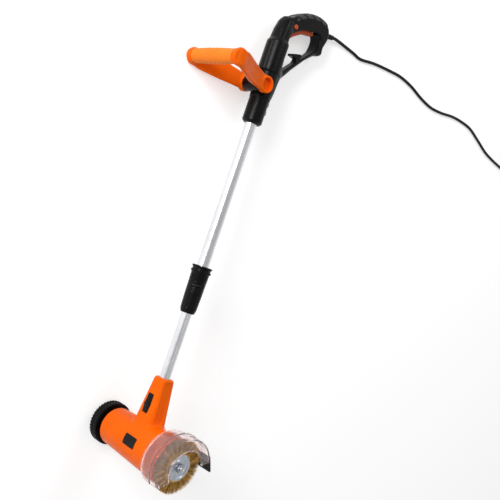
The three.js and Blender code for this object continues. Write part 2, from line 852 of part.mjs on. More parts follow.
// Armature
const armature = new THREE.Group();
tool.add(armature);
piece('motor_shaft', onMotor(turned([
  [0, motor.shaftStart],
  [motor.shaftRadius, motor.shaftStart],
  [motor.shaftRadius, motor.shaftStep],
  [motor.pinionSeatRadius, motor.shaftStep],
  [motor.pinionSeatRadius, motor.shaftEnd],
  [0, motor.shaftEnd],
], facets.inner)), steel, armature);
const onShaft = motor.shaftRadius + clearance;
piece('armature_core', onMotor(turned([
  [onShaft, motor.windingStart],
  [motor.windingRadius, motor.windingStart],
  [motor.windingRadius, motor.coreStart],
  [motor.coreRadius, motor.coreStart],
  [motor.coreRadius, motor.coreEnd],
  [motor.windingRadius, motor.coreEnd],
  [motor.windingRadius, motor.windingEnd],
  [onShaft, motor.windingEnd],
  [onShaft, motor.windingStart],
], facets.inner)), copper, armature);
piece('commutator', onMotor(ring(onShaft, motor.commutatorRadius, motor.commutatorStart,
  motor.commutatorEnd)), copper, armature);
const fanDisc = onMotor(ring(onShaft, motor.fanRadius, motor.fanStart, motor.fanStart + motor.fanDisc));
const fanHub = onMotor(ring(onShaft, motor.fanHubRadius, motor.fanStart, motor.fanEnd));
const blades = [];
for (let i = 0; i < fanBlades; i += 1) {
  const blade = block(motor.fanStart + motor.fanDisc / 2, motor.fanEnd, motor.fanHubRadius - motor.fanBlade,
    motor.fanRadius - motor.fanBlade, -motor.fanBlade / 2, motor.fanBlade / 2);
  blades.push(blade.rotateX(i / fanBlades * Math.PI * 2));
}
piece('cooling_fan', join(fanDisc, fanHub, ...blades), black, armature);
const sunShape = gearShape(sunTeeth, tipOf(sunTeeth), rootOf(sunTeeth), -backlash);
sunShape.holes.push(circleHole(motor.pinionSeatRadius + clearance));
piece('sun_pinion', alongX(sunShape, gears.sunFrom, gears.sunTo), steel, armature);

// Planet carrier with the output spindle, and its planets
const output = new THREE.Group();
tool.add(output);
const carrierArm = pitchOf(sunTeeth) + pitchOf(planetTeeth);
const planetAngles = Array.from({ length: planetCount }, (_, i) => upward + i / planetCount * Math.PI * 2);
const carrierDisc = onMotor(turned([
  [0, carrier.discFrom],
  [carrier.discRadius, carrier.discFrom],
  [carrier.discRadius, carrier.discTo],
  [spindle.radius, carrier.discTo],
  [spindle.radius, spindle.collarFrom],
  [spindle.collarRadius, spindle.collarFrom],
  [spindle.collarRadius, spindle.collarTo],
  [spindle.threadRadius, spindle.collarTo],
  [spindle.threadRadius, spindle.end],
  [0, spindle.end],
], facets.inner));
const pins = planetAngles.map((angle) =>
  onMotor(rod(carrier.pinRadius, carrier.pinFrom, carrier.discTo - clearance, facets.pin))
    .translate(0, carrierArm * Math.sin(angle), carrierArm * Math.cos(angle)));
piece('planet_carrier_spindle', join(carrierDisc, ...pins), steel, output);
planetAngles.forEach((angle, i) => {
  const shape = gearShape(planetTeeth, tipOf(planetTeeth), rootOf(planetTeeth), -backlash);
  shape.holes.push(circleHole(carrier.pinRadius + clearance));
  const gear = piece(`planet_gear_${i + 1}`, alongX(shape, gears.planetFrom, gears.planetTo), steel, output);
  gear.position.set(0, carrierArm * Math.sin(angle), carrierArm * Math.cos(angle));
  gear.rotation.x = halfTooth(planetTeeth) - angle * (1 + sunTeeth / planetTeeth);
});

// Wire wheel: spool, ring of strands and the nut
const hubBore = spindle.threadRadius + brush.boreGap;
piece('brush_hub', onMotor(turned([
  [hubBore, brush.hubFrom],
  [brush.discRadius, brush.hubFrom],
  [brush.discRadius, brush.hubFrom + brush.disc],
  [brush.coreRadius, brush.hubFrom + brush.disc],
  [brush.coreRadius, brush.hubTo - brush.disc],
  [brush.discRadius, brush.hubTo - brush.disc],
  [brush.discRadius, brush.hubTo],
  [hubBore, brush.hubTo],
  [hubBore, brush.hubFrom],
], facets.round)), zinc, output);

function onDrum(x, radius, angle) {
  return new THREE.Vector3(x, radius * Math.cos(angle), radius * Math.sin(angle));
}

// Backing ring whose outer skin is a grid of cells, each with one three-sided strand grown out of it
function strandRing(from, to) {
  const corners = [];
  const quad = (a, b, c, d) => corners.push(a, b, c, a, c, d);
  const middle = (brush.hubFrom + brush.hubTo) / 2;
  const inner = brush.backingInner;
  const outer = brush.backingOuter;
  for (let column = 0; column < strandColumns; column += 1) {
    const [t0, t1] = [column, column + 1].map((n) => (n % strandColumns) / strandColumns * Math.PI * 2);
    const tm = (column + 0.5) / strandColumns * Math.PI * 2;
    quad(onDrum(from, outer, t1), onDrum(from, outer, t0), onDrum(from, inner, t0), onDrum(from, inner, t1));
    quad(onDrum(to, outer, t0), onDrum(to, outer, t1), onDrum(to, inner, t1), onDrum(to, inner, t0));
    quad(onDrum(from, inner, t1), onDrum(from, inner, t0), onDrum(to, inner, t0), onDrum(to, inner, t1));
    for (let row = 0; row < strandRows; row += 1) {
      const x0 = from + (to - from) * row / strandRows;
      const x1 = from + (to - from) * (row + 1) / strandRows;
      const a = onDrum(x0, outer, t0);
      const b = onDrum(x0, outer, t1);
      const c = onDrum(x1, outer, t1);
      const d = onDrum(x1, outer, t0);
      const xm = (x0 + x1) / 2;
      const spread = 1 + brush.flareShare;
      const foot = [[-1, 0], [1, 1], [1, -1]].map(([alongAxis, around]) =>
        onDrum(xm + alongAxis * brush.strand / 2, outer, tm + around * brush.strand / 2 / outer));
      const tip = [[-1, 0], [1, 1], [1, -1]].map(([alongAxis, around]) =>
        onDrum(middle + (xm - middle) * spread + alongAxis * brush.strand / 2 * brush.strandTipShare,
          brush.radius, tm + around * brush.strand / 2 * brush.strandTipShare / brush.radius));
      corners.push(a, b, foot[0], b, foot[1], foot[0], b, c, foot[1], c, foot[2], foot[1]);
      corners.push(c, d, foot[2], d, foot[0], foot[2], d, a, foot[0]);
      for (let side = 0; side < 3; side += 1) {
        const next = (side + 1) % 3;
        quad(foot[side], foot[next], tip[next], tip[side]);
      }
      corners.push(tip[0], tip[1], tip[2]);
    }
  }
  return new THREE.BufferGeometry().setFromPoints(corners);
}
piece('wire_bristles', strandRing(brush.hubFrom + brush.disc + brush.ringGap, brush.hubTo - brush.disc
  - brush.ringGap), brass, output);

const nutShape = new THREE.Shape(Array.from({ length: nutSides }, (_, i) => new THREE.Vector2(
  brush.nutRadius * Math.cos(i / nutSides * Math.PI * 2),
  brush.nutRadius * Math.sin(i / nutSides * Math.PI * 2),
)));
nutShape.holes.push(circleHole(spindle.threadRadius + clearance));
piece('brush_nut', alongX(nutShape, brush.nutFrom, brush.nutTo), zinc, output);

// Clear guard and its flap. Angles run from straight down through the front
function guardDrum() {
  const { wall } = guard;
  const inside = collarRadius + guard.fit;
  const shoulder = guardWall - guard.shoulderDrop;
  return onMotor(turned([
    [inside, guard.innerFrom],
    [inside + guard.ringWall, guard.innerFrom],
    [inside + guard.ringWall, guard.ringTo],
    [shoulder, guard.shoulderTo],
    [guardWall, guard.ribAt - guard.ribWidth / 2],
    [guardWall + guard.ribHeight, guard.ribAt - guard.ribWidth / 2],
    [guardWall + guard.ribHeight, guard.ribAt + guard.ribWidth / 2],
    [guardWall, guard.ribAt + guard.ribWidth / 2],
    [guardEnd, guard.end],
    [guardEnd - guard.lipWidth, guard.end],
    [guardEnd - guard.lipWidth, guard.end - wall],
    [guardEnd - wall, guard.end - wall],
    [guardWall - wall, guard.ribAt],
    [shoulder - wall, guard.shoulderTo + wall],
    [inside, guard.ringTo + wall],
    [inside, guard.innerFrom],
  ], facets.drum));
}
const mouth = new THREE.Shape();
const reach = guardWall * 2;
const fromDown = (angle) => angle - Math.PI / 2;
mouth.moveTo(0, 0);
mouth.absarc(0, 0, reach, fromDown(guardRear), fromDown(guardFront + Math.PI * 2), false);
mouth.closePath();
const mouthCut = alongX(mouth, guard.ringTo, guard.end + overrun, { curveSegments: facets.pin });
piece('brush_guard', solid(guardDrum()).subtract(solid(mouthCut)), clear);

const flapLean = Math.atan2(flap.spread, flap.drop);
const flapHeight = Math.hypot(flap.spread, flap.drop);
const flapAngle = THREE.MathUtils.degToRad(flap.seatAngle);
const flapSheet = block(flap.from, flap.to, -flapHeight, 0, -flap.thickness, 0);
piece('guard_flap', flapSheet, rubber)
  .position.set(0, flapSeat * Math.cos(flapAngle), -flapSeat * Math.sin(flapAngle));
tool.getObjectByName('guard_flap').rotation.x = flapLean;

// Guide wheel on its stub axle
piece('wheel_axle', onMotor(turned([
  [0, wheel.hubFrom - clearance - wheel.axleHead],
  [wheel.axleHeadRadius, wheel.hubFrom - clearance - wheel.axleHead],
  [wheel.axleHeadRadius, wheel.hubFrom - clearance],
  [wheel.axleRadius, wheel.hubFrom - clearance],
  [wheel.axleRadius, wheel.axleEnd],
  [0, wheel.axleEnd],
], facets.inner)), steel);
const rolling = new THREE.Group();
tool.add(rolling);
const rimOuter = wheel.tyreInner - clearance;
piece('guide_wheel', onMotor(turned([
  [wheel.axleRadius + clearance, wheel.hubFrom],
  [wheel.hubRadius, wheel.hubFrom],
  [wheel.hubRadius, wheel.webFrom],
  [rimOuter - wheel.rim, wheel.webFrom],
  [rimOuter - wheel.rim, wheel.outerFace],
  [rimOuter, wheel.outerFace],
  [rimOuter, wheel.innerFace],
  [rimOuter - wheel.rim, wheel.innerFace],
  [rimOuter - wheel.rim, wheel.webFrom + wheel.web],
  [wheel.hubRadius, wheel.webFrom + wheel.web],
  [wheel.hubRadius, wheel.hubTo],
  [wheel.axleRadius + clearance, wheel.hubTo],
  [wheel.axleRadius + clearance, wheel.hubFrom],
], facets.round)), black, rolling);
const treadPoints = [];
for (let lug = 0; lug < treadLugs; lug += 1) {
  const from = lug / treadLugs * Math.PI * 2;
  const to = (lug + lugShare) / treadLugs * Math.PI * 2;
  for (const [radius, angle] of [[wheel.tyreFloor, from], [wheel.tyreOuter, from], [wheel.tyreOuter, to],
    [wheel.tyreFloor, to]]) {
    treadPoints.push(new THREE.Vector2(radius * Math.cos(angle), radius * Math.sin(angle)));
  }
}
const treadShape = new THREE.Shape(treadPoints);
treadShape.holes.push(circleHole(wheel.tyreInner));
const tyre = alongX(treadShape, wheel.outerFace, wheel.innerFace, { curveSegments: facets.fine });
piece('wheel_tyre', tyre, rubber, rolling);

// Pole tubes and clamp
const lowerTube = ring(pole.lowerRadius - pole.lowerWall, pole.lowerRadius, pole.lowerBottom, pole.lowerTop,
  facets.round);
piece('lower_tube', lowerTube, aluminium);
const upper = new THREE.Group();
tool.add(upper);
const upperTube = ring(pole.upperRadius - pole.upperWall, pole.upperRadius, pole.upperBottom, pole.upperTop,
  facets.round);
piece('upper_tube', upperTube, aluminium, upper);
const overUpper = pole.upperRadius + clearance;
piece('clamp_body', turned([
  [overUpper, clampSeam],
  [clamp.seamRadius, clampSeam],
  [clamp.bodyRadius, clampBodyTop],
  [clamp.ringRadius, clampBodyTop],
  [clamp.ringRadius, clampRingTop],
  [clamp.grooveRadius, clampRingTop],
  [clamp.ringRadius, clampFlange],
  [clamp.ringRadius, clampTop],
  [overUpper, clampTop],
  [overUpper, clampSeam],
], facets.round), black, upper);
const overLower = pole.lowerRadius + clearance;
piece('clamp_nut', turned([
  [overLower, clampBottom],
  [clamp.bottomRadius, clampBottom],
  [clamp.chamferRadius, clampBottom + clamp.chamferLength],
  [clamp.seamRadius, clampSeam - clearance],
  [overUpper, clampSeam - clearance],
  [overUpper, clampShoulder],
  [overLower, clampShoulder],
  [overLower, clampBottom],
], facets.round), black, upper);

// Rear handle
function barrelOutside() {
  return turned([
    [0, handle.bottom],
    [handle.sleeveRadius - handle.bottomRounding, handle.bottom],
    [handle.sleeveRadius, handle.bottom + handle.bottomRounding],
    [handle.sleeveRadius, sleeveTop],
    [handle.throatRadius, sleeveTop],
    [handle.throatRadius, barrelFrom - handle.wall],
    [handle.barrelRadius, barrelFrom + handle.wall],
    [handle.barrelRadius, barrelTo],
    [handle.noseRadius, noseFrom],
    [noseMidRadius, noseMid],
    [noseHighRadius, noseHigh],
    [noseHighRadius / 2, noseTop - handle.wall / 2],
    [0, noseTop],
  ], facets.round);
}
function barrelHollow() {
  return turned([
    [0, barrelFrom],
    [handle.barrelRadius - handle.wall, barrelFrom],
    [handle.barrelRadius - handle.wall, barrelTo - handle.wall],
    [handle.noseRadius - handle.wall, noseFrom - handle.wall],
    [noseMidRadius - handle.wall, noseMid],
    [noseHighRadius - handle.wall, noseHigh - handle.wall],
    [0, noseHigh],
  ], facets.inner);
}
function hookSolid() {
  return alongX(outlineShape(hookPoints), -hook.half, hook.half);
}
const panel = alongX(outlineShape(panelPoints), -handle.panelHalf, handle.panelHalf, {
  bevel: handle.panelBevel,
});
const farHalf = handle.panelHalf + overrun;
const pivotBarrel = rod(front.barrelRadius + clearance, -farHalf - overrun, farHalf + overrun, facets.round)
  .rotateZ(-Math.PI / 2).translate(0, front.y, front.z);
const sleevePlaced = (geometry) =>
  geometry.rotateX(Math.PI / 2 + sleeveTilt).translate(0, sleeve.y, sleeve.z);
const sleeveOutside = (grow) => sleevePlaced(turned([
  [0, sleeve.seat + grow],
  [sleeve.flangeRadius + grow, sleeve.seat + grow],
  [sleeve.flangeRadius + grow, sleeve.seat - sleeve.flange - grow],
  [sleeve.rootRadius + grow, sleeve.seat - sleeve.flange - grow],
  [sleeve.rootRadius + grow, 0],
  [sleeve.endRadius + grow, -sleeve.length],
  [0, -sleeve.length],
], facets.inner));
const cordBore = sleevePlaced(
  rod(cord.radius + clearance, -sleeve.length - overrun, cord.insideHandle + overrun),
);
const slotHalf = trigger.half + trigger.slotGap;
const padHalf = pad.half + clearance;

const handleBody = cut(
  join(barrelOutside(), panel)
    .subtract(solid(alongX(outlineShape(openingPoints), -farHalf, farHalf)))
    .add(solid(hookSolid()))
    .subtract(solid(alongX(outlineShape(grown(padPoints, clearance)), -padHalf, padHalf))),
  rod(pole.upperRadius + clearance, handle.bottom - overrun, pole.upperTop + clearance, facets.round),
  rod(handle.leadPassage, handle.leadPassageBottom, handle.leadPassageTop, facets.pin)
    .translate(0, 0, handle.leadPassageZ),
  pivotBarrel,
  barrelHollow(),
  alongX(outlineShape(cavityPoints), -handle.cavityHalf, handle.cavityHalf),
  alongX(outlineShape(slotPoints), -slotHalf, slotHalf),
  rod(trigger.pinRadius + clearance, -trigger.pinHalf - clearance, trigger.pinHalf + clearance, facets.pin)
    .rotateZ(-Math.PI / 2).translate(0, trigger.pivotY, trigger.pivotZ),
  rod(lockOff.radius + clearance, 0, farHalf).rotateZ(-Math.PI / 2)
    .translate(0, lockOff.y, lockOff.z),
  sleeveOutside(clearance),
  cordBore,
);
const sideSpace = (sign) => block(
  sign > 0 ? shellSplit / 2 : -farEnough,
  sign > 0 ? farEnough : -shellSplit / 2,
  0, noseTop + farEnough, -farEnough, farEnough,
);
piece('handle_left_shell', handleBody.intersect(solid(sideSpace(1))), black, upper);
piece('handle_right_shell', handleBody.intersect(solid(sideSpace(-1))), black, upper);
piece('grip_pad', alongX(outlineShape(padPoints), -pad.half, pad.half), softBlack, upper);
piece('power_switch', block(-powerSwitch.half, powerSwitch.half, powerSwitch.bottom, powerSwitch.top,
  powerSwitch.back, powerSwitch.front), black, upper);
piece('trigger_pin', onMotor(rod(trigger.pinRadius, -trigger.pinHalf, trigger.pinHalf, facets.pin))
  .translate(0, trigger.pivotY, trigger.pivotZ), steel, upper);
const triggerShape = outlineShape(triggerPoints);
triggerShape.holes.push(circleHole(trigger.pinRadius + clearance, trigger.pivotZ, trigger.pivotY));
const triggerBody = alongX(triggerShape, -trigger.half, trigger.half, { curveSegments: facets.few });
piece('trigger', triggerBody, triggerOrange, upper);
piece('lock_off_button', onMotor(turned([
  [0, lockOff.inner],
  [lockOff.flangeRadius, lockOff.inner],
  [lockOff.flangeRadius, lockOff.flangeTo],
  [lockOff.radius, lockOff.flangeTo],
  [lockOff.radius, lockOff.outer],
  [0, lockOff.outer],
], facets.inner)).translate(0, lockOff.y, lockOff.z), triggerOrange, upper);

piece('cord_sleeve', cut(solid(sleeveOutside(0)), cordBore), softBlack, upper);

// Front handle: a barrel seated in the notch of the rear handle, two cups with arms, and a grip on a bar
const pivotPiece = rod(front.barrelRadius, -front.barrelHalf, front.barrelHalf, facets.round);
const pivotStub = rod(front.stubRadius, -stubHalf, stubHalf);
piece('front_handle_pivot', join(pivotPiece, pivotStub).rotate([0, 0, -90]).translate([0, front.y, front.z]),
  black, upper);

function cup(side) {
  const outline = [
    [front.stubRadius + clearance, cupInner],
    [front.cupRadius, cupInner],
    [front.cupRadius, cupOuter],
    [front.recessRadius, cupOuter],
    [front.recessRadius, cupOuter - front.recessDepth],
    [0, cupOuter - front.recessDepth],
    [0, stubHalf + clearance],
    [front.stubRadius + clearance, stubHalf + clearance],
    [front.stubRadius + clearance, cupInner],
  ];
  return turned(outline, facets.round).rotateZ(-side * Math.PI / 2).translate(0, front.y, front.z);
}

function arm(side) {
  const rings = armPoints.map(([x, z], i) => {
    const [before, after] = [armPoints[Math.max(i - 1, 0)], armPoints[Math.min(i + 1, armPoints.length - 1)]];
    const along = new THREE.Vector2(after[0] - before[0], after[1] - before[1]).normalize();
    const y = THREE.MathUtils.lerp(front.y, front.gripY, i / (armPoints.length - 1));
    const half = front.armThickness / 2;
    return [[-1, -1], [1, -1], [1, 1], [-1, 1]].map(([across, up]) => new THREE.Vector3(
      side * (x + across * half * along.y),
      y + up * front.armHeight / 2,
      z - across * half * along.x,
    ));
  });
  return loft(rings);
}

const frontHandle = new THREE.Group();
tool.add(frontHandle);
const gripAt = (geometry) => geometry.rotateZ(-Math.PI / 2).translate(0, front.gripY, front.gripZ);
const flangeAt = (from, to) => gripAt(rod(front.flangeRadius, from, to, facets.round));
const dHandle = cut(
  join(
    cup(1),
    cup(-1),
    gripAt(rod(front.barRadius, -gripEndHalf + clearance, gripEndHalf - clearance)),
    flangeAt(front.gripHalf, gripEndHalf),
    flangeAt(-gripEndHalf, -front.gripHalf),
  ).add(
    cut(join(arm(1), arm(-1)), ...[-1, 1].flatMap((side) => [
      rod(front.stubRadius + clearance, 0, stubHalf + clearance, facets.round)
        .rotateZ(-side * Math.PI / 2).translate(0, front.y, front.z),
      rod(front.recessRadius, cupOuter - front.recessDepth, cupOuter + overrun, facets.round)
        .rotateZ(-side * Math.PI / 2).translate(0, front.y, front.z),
      rod(front.cupRadius + overrun, 0, cupInner, facets.round)
        .rotateZ(-side * Math.PI / 2).translate(0, front.y, front.z),
    ])),
  ),
);
piece('front_handle', dHandle, orange, frontHandle);
piece('front_grip', gripAt(turned([
  [front.barRadius + clearance, -front.gripHalf + clearance],
  [front.gripEndRadius, -front.gripHalf + clearance],
  [front.gripMidRadius, -front.gripHalf / 2],
  [front.gripMidRadius, front.gripHalf / 2],
  [front.gripEndRadius, front.gripHalf - clearance],
  [front.barRadius + clearance, front.gripHalf - clearance],
  [front.barRadius + clearance, -front.gripHalf + clearance],
], facets.round)), gripOrange, frontHandle);

// Leads inside the pole
const lowerLead = rod(lead.radius, lead.lowerStart, lead.lowerEnd, facets.pin);
piece('lower_lead', lowerLead.translate(-lead.offset, 0, 0), rubber);
piece('upper_lead', rod(lead.radius, lead.upperEnd, barrelFrom + overrun, facets.pin)
  .translate(0, 0, handle.leadPassageZ), rubber, upper);

// Lay the tool on the floor: it rests on the tyre, on one end of the front grip and on the handle's side
const supports = ['wheel_tyre', 'front_handle', 'handle_right_shell'].map((name) => {
  const places = tool.getObjectByName(name).geometry.attributes.position;
  return Array.from({ length: places.count }, (_, i) => new THREE.Vector3().fromBufferAttribute(places, i));
});
const floorUp = new THREE.Vector3(1, 0, 0);
const settlingRounds = 8;
for (let round = 0; round < settlingRounds; round += 1) {
  const [a, b, c] = supports.map((places) =>
    places.reduce((lowest, place) => (place.dot(floorUp) < lowest.dot(floorUp) ? place : lowest)));
  floorUp.copy(c.clone().sub(a).cross(b.clone().sub(a)).normalize());
}
const alongPole = new THREE.Vector3(0, 1, 0).projectOnPlane(floorUp).normalize();
const sideways = new THREE.Vector3().crossVectors(alongPole, floorUp);
tool.quaternion.setFromRotationMatrix(
  new THREE.Matrix4().makeBasis(sideways, alongPole, floorUp).transpose(),
);
group.updateMatrixWorld(true);
const extent = new THREE.Box3().setFromObject(tool, true);
const middlePlace = extent.getCenter(new THREE.Vector3());
tool.position.set(-middlePlace.x, -middlePlace.y, -extent.min.z);

// Cord: out of the handle, across the floor, four turns in two layers and on to the plug
const cordGroup = new THREE.Group();
group.add(cordGroup);
cordGroup.position.set(tool.position.x, tool.position.y, 0);
group.updateMatrixWorld(true);
const cordAxis = new THREE.Vector3(0, Math.sin(sleeveTilt), -Math.cos(sleeveTilt));
const sleeveEnd = (along) => new THREE.Vector3(0, sleeve.y, sleeve.z).addScaledVector(cordAxis, along)
  .applyMatrix4(tool.matrixWorld)
  .sub(cordGroup.position);

// A round tube with square ends through the given places
function tube(curve, steps, sides) {
  const section = new THREE.Shape(Array.from({ length: sides }, (_, i) => new THREE.Vector2(
    cord.radius * Math.cos(i / sides * Math.PI * 2), cord.radius * Math.sin(i / sides * Math.PI * 2))));
  return new THREE.ExtrudeGeometry(section, { steps, extrudePath: curve });
}

function tubeThrough(places, sides) {
  const curve = new THREE.CatmullRomCurve3(places, false, 'centripetal');
  return tube(curve, Math.round(curve.getLength() / cord.step), sides);
}

const floorLevel = cord.radius + cord.lift;
const coilStart = new THREE.Vector3(coil.x - cord.stub - clearance, coil.y, floorLevel);
piece('mains_cord', tubeThrough([
  sleeveEnd(-cord.insideHandle),
  sleeveEnd(0),
  sleeveEnd(sleeve.length),
  sleeveEnd(sleeve.length + cord.stub),
  ...cordPlaces.map(([x, y]) => new THREE.Vector3(x, y, floorLevel)),
  coilStart.clone().setX(coilStart.x - cord.stub),
  coilStart,
], cordSides), rubber, cordGroup);

// The coil winds inwards on the floor, climbs a layer in the half turn where it reverses and winds outwards
class CoilCurve extends THREE.Curve {
  getPoint(share, target = new THREE.Vector3()) {
    const step = share * (coilTurns * coilSteps + 2) - 1;
    const turns = THREE.MathUtils.clamp(step / coilSteps, 0, coilTurns);
    const straight = (step - turns * coilSteps) * cord.stub;
    const middle = coilTurns / 2;
    const radius = coil.outer - coil.pitch * (middle - Math.abs(turns - middle));
    const climbed = THREE.MathUtils.clamp((turns - middle) / climbTurns + 0.5, 0, 1);
    const angle = turns * Math.PI * 2 - Math.PI / 2;
    return target.set(
      coil.x + straight + radius * Math.cos(angle),
      coil.y + coil.outer + radius * Math.sin(angle),
      floorLevel + coil.rise * climbed,
    );
  }

  getPointAt(share, target) {
    return this.getPoint(share, target);
  }

  getTangentAt(share, target) {
    return this.getTangent(share, target);
  }
}
const coilCurve = new CoilCurve();
piece('mains_cord_coil', tube(coilCurve, coilTurns * coilSteps + 2, coilSides), rubber, cordGroup);

// Least gap of the coil to itself, from places along it that are more than half a turn apart
const gapPlaces = coilCurve.getPoints(coilTurns * coilSteps * 4);
let leastGap = Infinity;
gapPlaces.forEach((place, i) => {
  for (let j = i + coilSteps * 2; j < gapPlaces.length; j += 1) {
    leastGap = Math.min(leastGap, place.distanceTo(gapPlaces[j]) - 2 * cord.radius);
  }
});
console.log(`least gap of the coil to itself: ${leastGap.toFixed(2)} mm`);

const coilEnd = coilCurve.getPoint(1);
piece('mains_cord_tail', tubeThrough([
  coilEnd.clone().setX(coilEnd.x + clearance),
  coilEnd.clone().setX(coilEnd.x + clearance + cord.stub),
  ...tailPlaces.map(([along, height]) => new THREE.Vector3(coil.x + along, coil.y, height)),
  new THREE.Vector3(coil.x + plug.gap - clearance, coil.y, plug.centre),
], cordSides), rubber, cordGroup);

// Two-pin plug lying flat
const plugAxis = coil.x + plug.gap;
function plugRing(along, width, thickness) {
  const corner = thickness / 2 * Math.SQRT1_2;
  const [half, low] = [width / 2, thickness / 2];
  return [
    [half, 0], [half - low + corner, corner], [half - low, low], [low - half, low],
    [low - half - corner, corner], [-half, 0], [low - half - corner, -corner], [low - half, -low],
    [half - low, -low], [half - low + corner, -corner],
  ].map(([y, z]) => new THREE.Vector3(plugAxis + along, coil.y + y, plug.centre + z));
}
const pinPlaces = [-plug.pinSpacing / 2, plug.pinSpacing / 2];
const pinRod = (grow) =>
  onMotor(rod(plug.pinRadius + grow, -plug.pinSeat - grow, plug.pinLength, facets.pin));
const pinAt = (geometry, y) =>
  geometry.translate(plugAxis + plug.neck + plug.body, coil.y + y, plug.centre);
const plugBody = loft([
  plugRing(0, plug.neckRadius * 2 + clearance, plug.neckRadius * 2),
  plugRing(plug.neck, plug.neckRadius * 2 + plug.stepOut, plug.neckRadius * 2),
  plugRing(plug.neck + plug.body / 3, plug.width, plug.thickness),
  plugRing(plug.neck + plug.body, plug.faceWidth, plug.thickness),
]);
const pinBores = pinPlaces.map((y) => pinAt(pinRod(clearance), y));
piece('mains_plug', cut(solid(plugBody), ...pinBores), black, cordGroup);
pinPlaces.forEach((y, i) => piece(`plug_pin_${i + 1}`, pinAt(pinRod(0), y), brass, cordGroup));

export default group;
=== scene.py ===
"""Dressed model of a corded weed brush with a telescopic pole, lying on its side on a pale floor.

Shapes are made in the tool's own frame in millimetres, as in the part's source: x along the motor
axis towards the brush, y up the pole, z to the front. lay() moves them to the row frame in metres.
"""

import json
from math import acos, cos, pi, radians, sin, sqrt, tan

import bmesh
import bpy
import numpy as np
from mathutils import Matrix, Vector


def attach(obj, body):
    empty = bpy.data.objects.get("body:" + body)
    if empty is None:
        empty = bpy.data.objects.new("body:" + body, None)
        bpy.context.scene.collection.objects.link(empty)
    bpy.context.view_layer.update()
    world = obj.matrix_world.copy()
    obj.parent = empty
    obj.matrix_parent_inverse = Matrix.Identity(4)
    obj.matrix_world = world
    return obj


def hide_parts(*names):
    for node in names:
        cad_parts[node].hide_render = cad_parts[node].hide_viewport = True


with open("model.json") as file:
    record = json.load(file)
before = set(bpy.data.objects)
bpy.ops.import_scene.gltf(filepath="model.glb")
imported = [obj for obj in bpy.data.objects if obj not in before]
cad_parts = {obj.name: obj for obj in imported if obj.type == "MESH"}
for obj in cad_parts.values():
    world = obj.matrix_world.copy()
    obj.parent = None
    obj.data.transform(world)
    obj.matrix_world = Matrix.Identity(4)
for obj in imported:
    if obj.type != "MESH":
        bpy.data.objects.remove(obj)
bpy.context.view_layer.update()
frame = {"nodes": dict(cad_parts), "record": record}  # frame["nodes"],["record"]

# Tool frame to row frame
TURN = np.array([
    [0.14325828, 0.0, -0.98968534],
    [0.10297181, 0.99457259, 0.01490531],
    [0.98431391, -0.10404500, 0.14248076],
])
SHIFT = np.array([9.243915, -435.241136, 126.864499])
MM = 0.001


def lay(points):
    """Places in the tool frame, in millimetres, as places in the row frame, in metres."""
    return (np.asarray(points, float) @ TURN.T + SHIFT) * MM


def on_floor(points):
    """Places beside the tool, in millimetres from the tool's zero and above the floor, in metres."""
    return (np.asarray(points, float) + [SHIFT[0], SHIFT[1], 0.0]) * MM


def linked(name, data):
    """A new object of the scene that holds the data."""
    made = bpy.data.objects.new(name, data)
    bpy.context.scene.collection.objects.link(made)
    return made


# Camera
CAMERA_PLACE = (-0.78485, 0.04553, 1.20159)
CAMERA_AXES = (
    (0.731946, -0.274334, -0.623695),
    (0.379567, 0.924347, 0.038869),
    (0.565848, -0.265184, 0.780701),
)
camera_data = bpy.data.cameras.new("camera")
camera_data.lens = 49.968
camera_data.sensor_width = 36.0
camera_data.clip_start, camera_data.clip_end = 0.02, 30.0
camera = linked("camera", camera_data)
camera.matrix_world = Matrix.Translation(CAMERA_PLACE) @ Matrix(CAMERA_AXES).to_4x4()
bpy.context.scene.camera = camera

# Mesh helpers; places nearer than WELD, in metres, are one, and creases are in degrees
WELD = 1e-7
CREASE, MOULD_CREASE = 35, 60


def smoothed(piece, crease=CREASE):
    """Smooth shading, with a sharp edge where faces meet at more than the crease in degrees."""
    piece.data.shade_smooth()
    piece.data.set_sharp_from_angle(angle=radians(crease))
    return piece


def settle(piece, body, node, slot):
    """The piece rides on the body, stands for the CAD node and has the look of the slot."""
    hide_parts(node)
    paint(piece, slot)
    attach(piece, body)
    return piece


def mesh_piece(name, points, faces, part=None, crease=CREASE, place=lay):
    """A mesh in the row frame; its part, if it has one, is the body, the CAD node and the slot."""
    data = bpy.data.meshes.new(name)
    data.from_pydata([tuple(p) for p in place(points)], [], [tuple(int(i) for i in f) for f in faces])
    data.validate()
    bm = bmesh.new()
    bm.from_mesh(data)
    bmesh.ops.remove_doubles(bm, verts=bm.verts, dist=WELD)
    bmesh.ops.recalc_face_normals(bm, faces=bm.faces)
    bm.to_mesh(data)
    bm.free()
    made = smoothed(linked(name, data), crease)
    return settle(made, *part) if part else made


def baked(piece):
    """The piece with its modifiers applied."""
    graph = bpy.context.evaluated_depsgraph_get()
    made = bpy.data.meshes.new_from_object(piece.evaluated_get(graph))
    piece.modifiers.clear()
    piece.data = made
    return smoothed(piece)


def carve(piece, tools, operation="DIFFERENCE"):
    """Cuts the piece with the tools, or keeps what they share, and removes the tools."""
    for tool in tools:
        modifier = piece.modifiers.new("carve", "BOOLEAN")
        modifier.operation = operation
        modifier.solver = "MANIFOLD"
        modifier.object = tool
        baked(piece)
        if not piece.data.polygons:
            raise RuntimeError(f"{piece.name}: nothing is left after {tool.name}")
        bpy.data.objects.remove(tool)
    return piece


def rounded_edges(piece, width, segments=3, angle=30):
    """Rounds the edges that are sharper than the angle."""
    modifier = piece.modifiers.new("round", "BEVEL")
    modifier.width = width * MM
    modifier.segments = segments
    modifier.limit_method = "ANGLE"
    modifier.angle_limit = radians(angle)
    return baked(piece)


# A fillet leaves a corner alone whose half angle is above STRAIGHT, and takes at most REACH of an edge
STRAIGHT, REACH = radians(87), 0.48


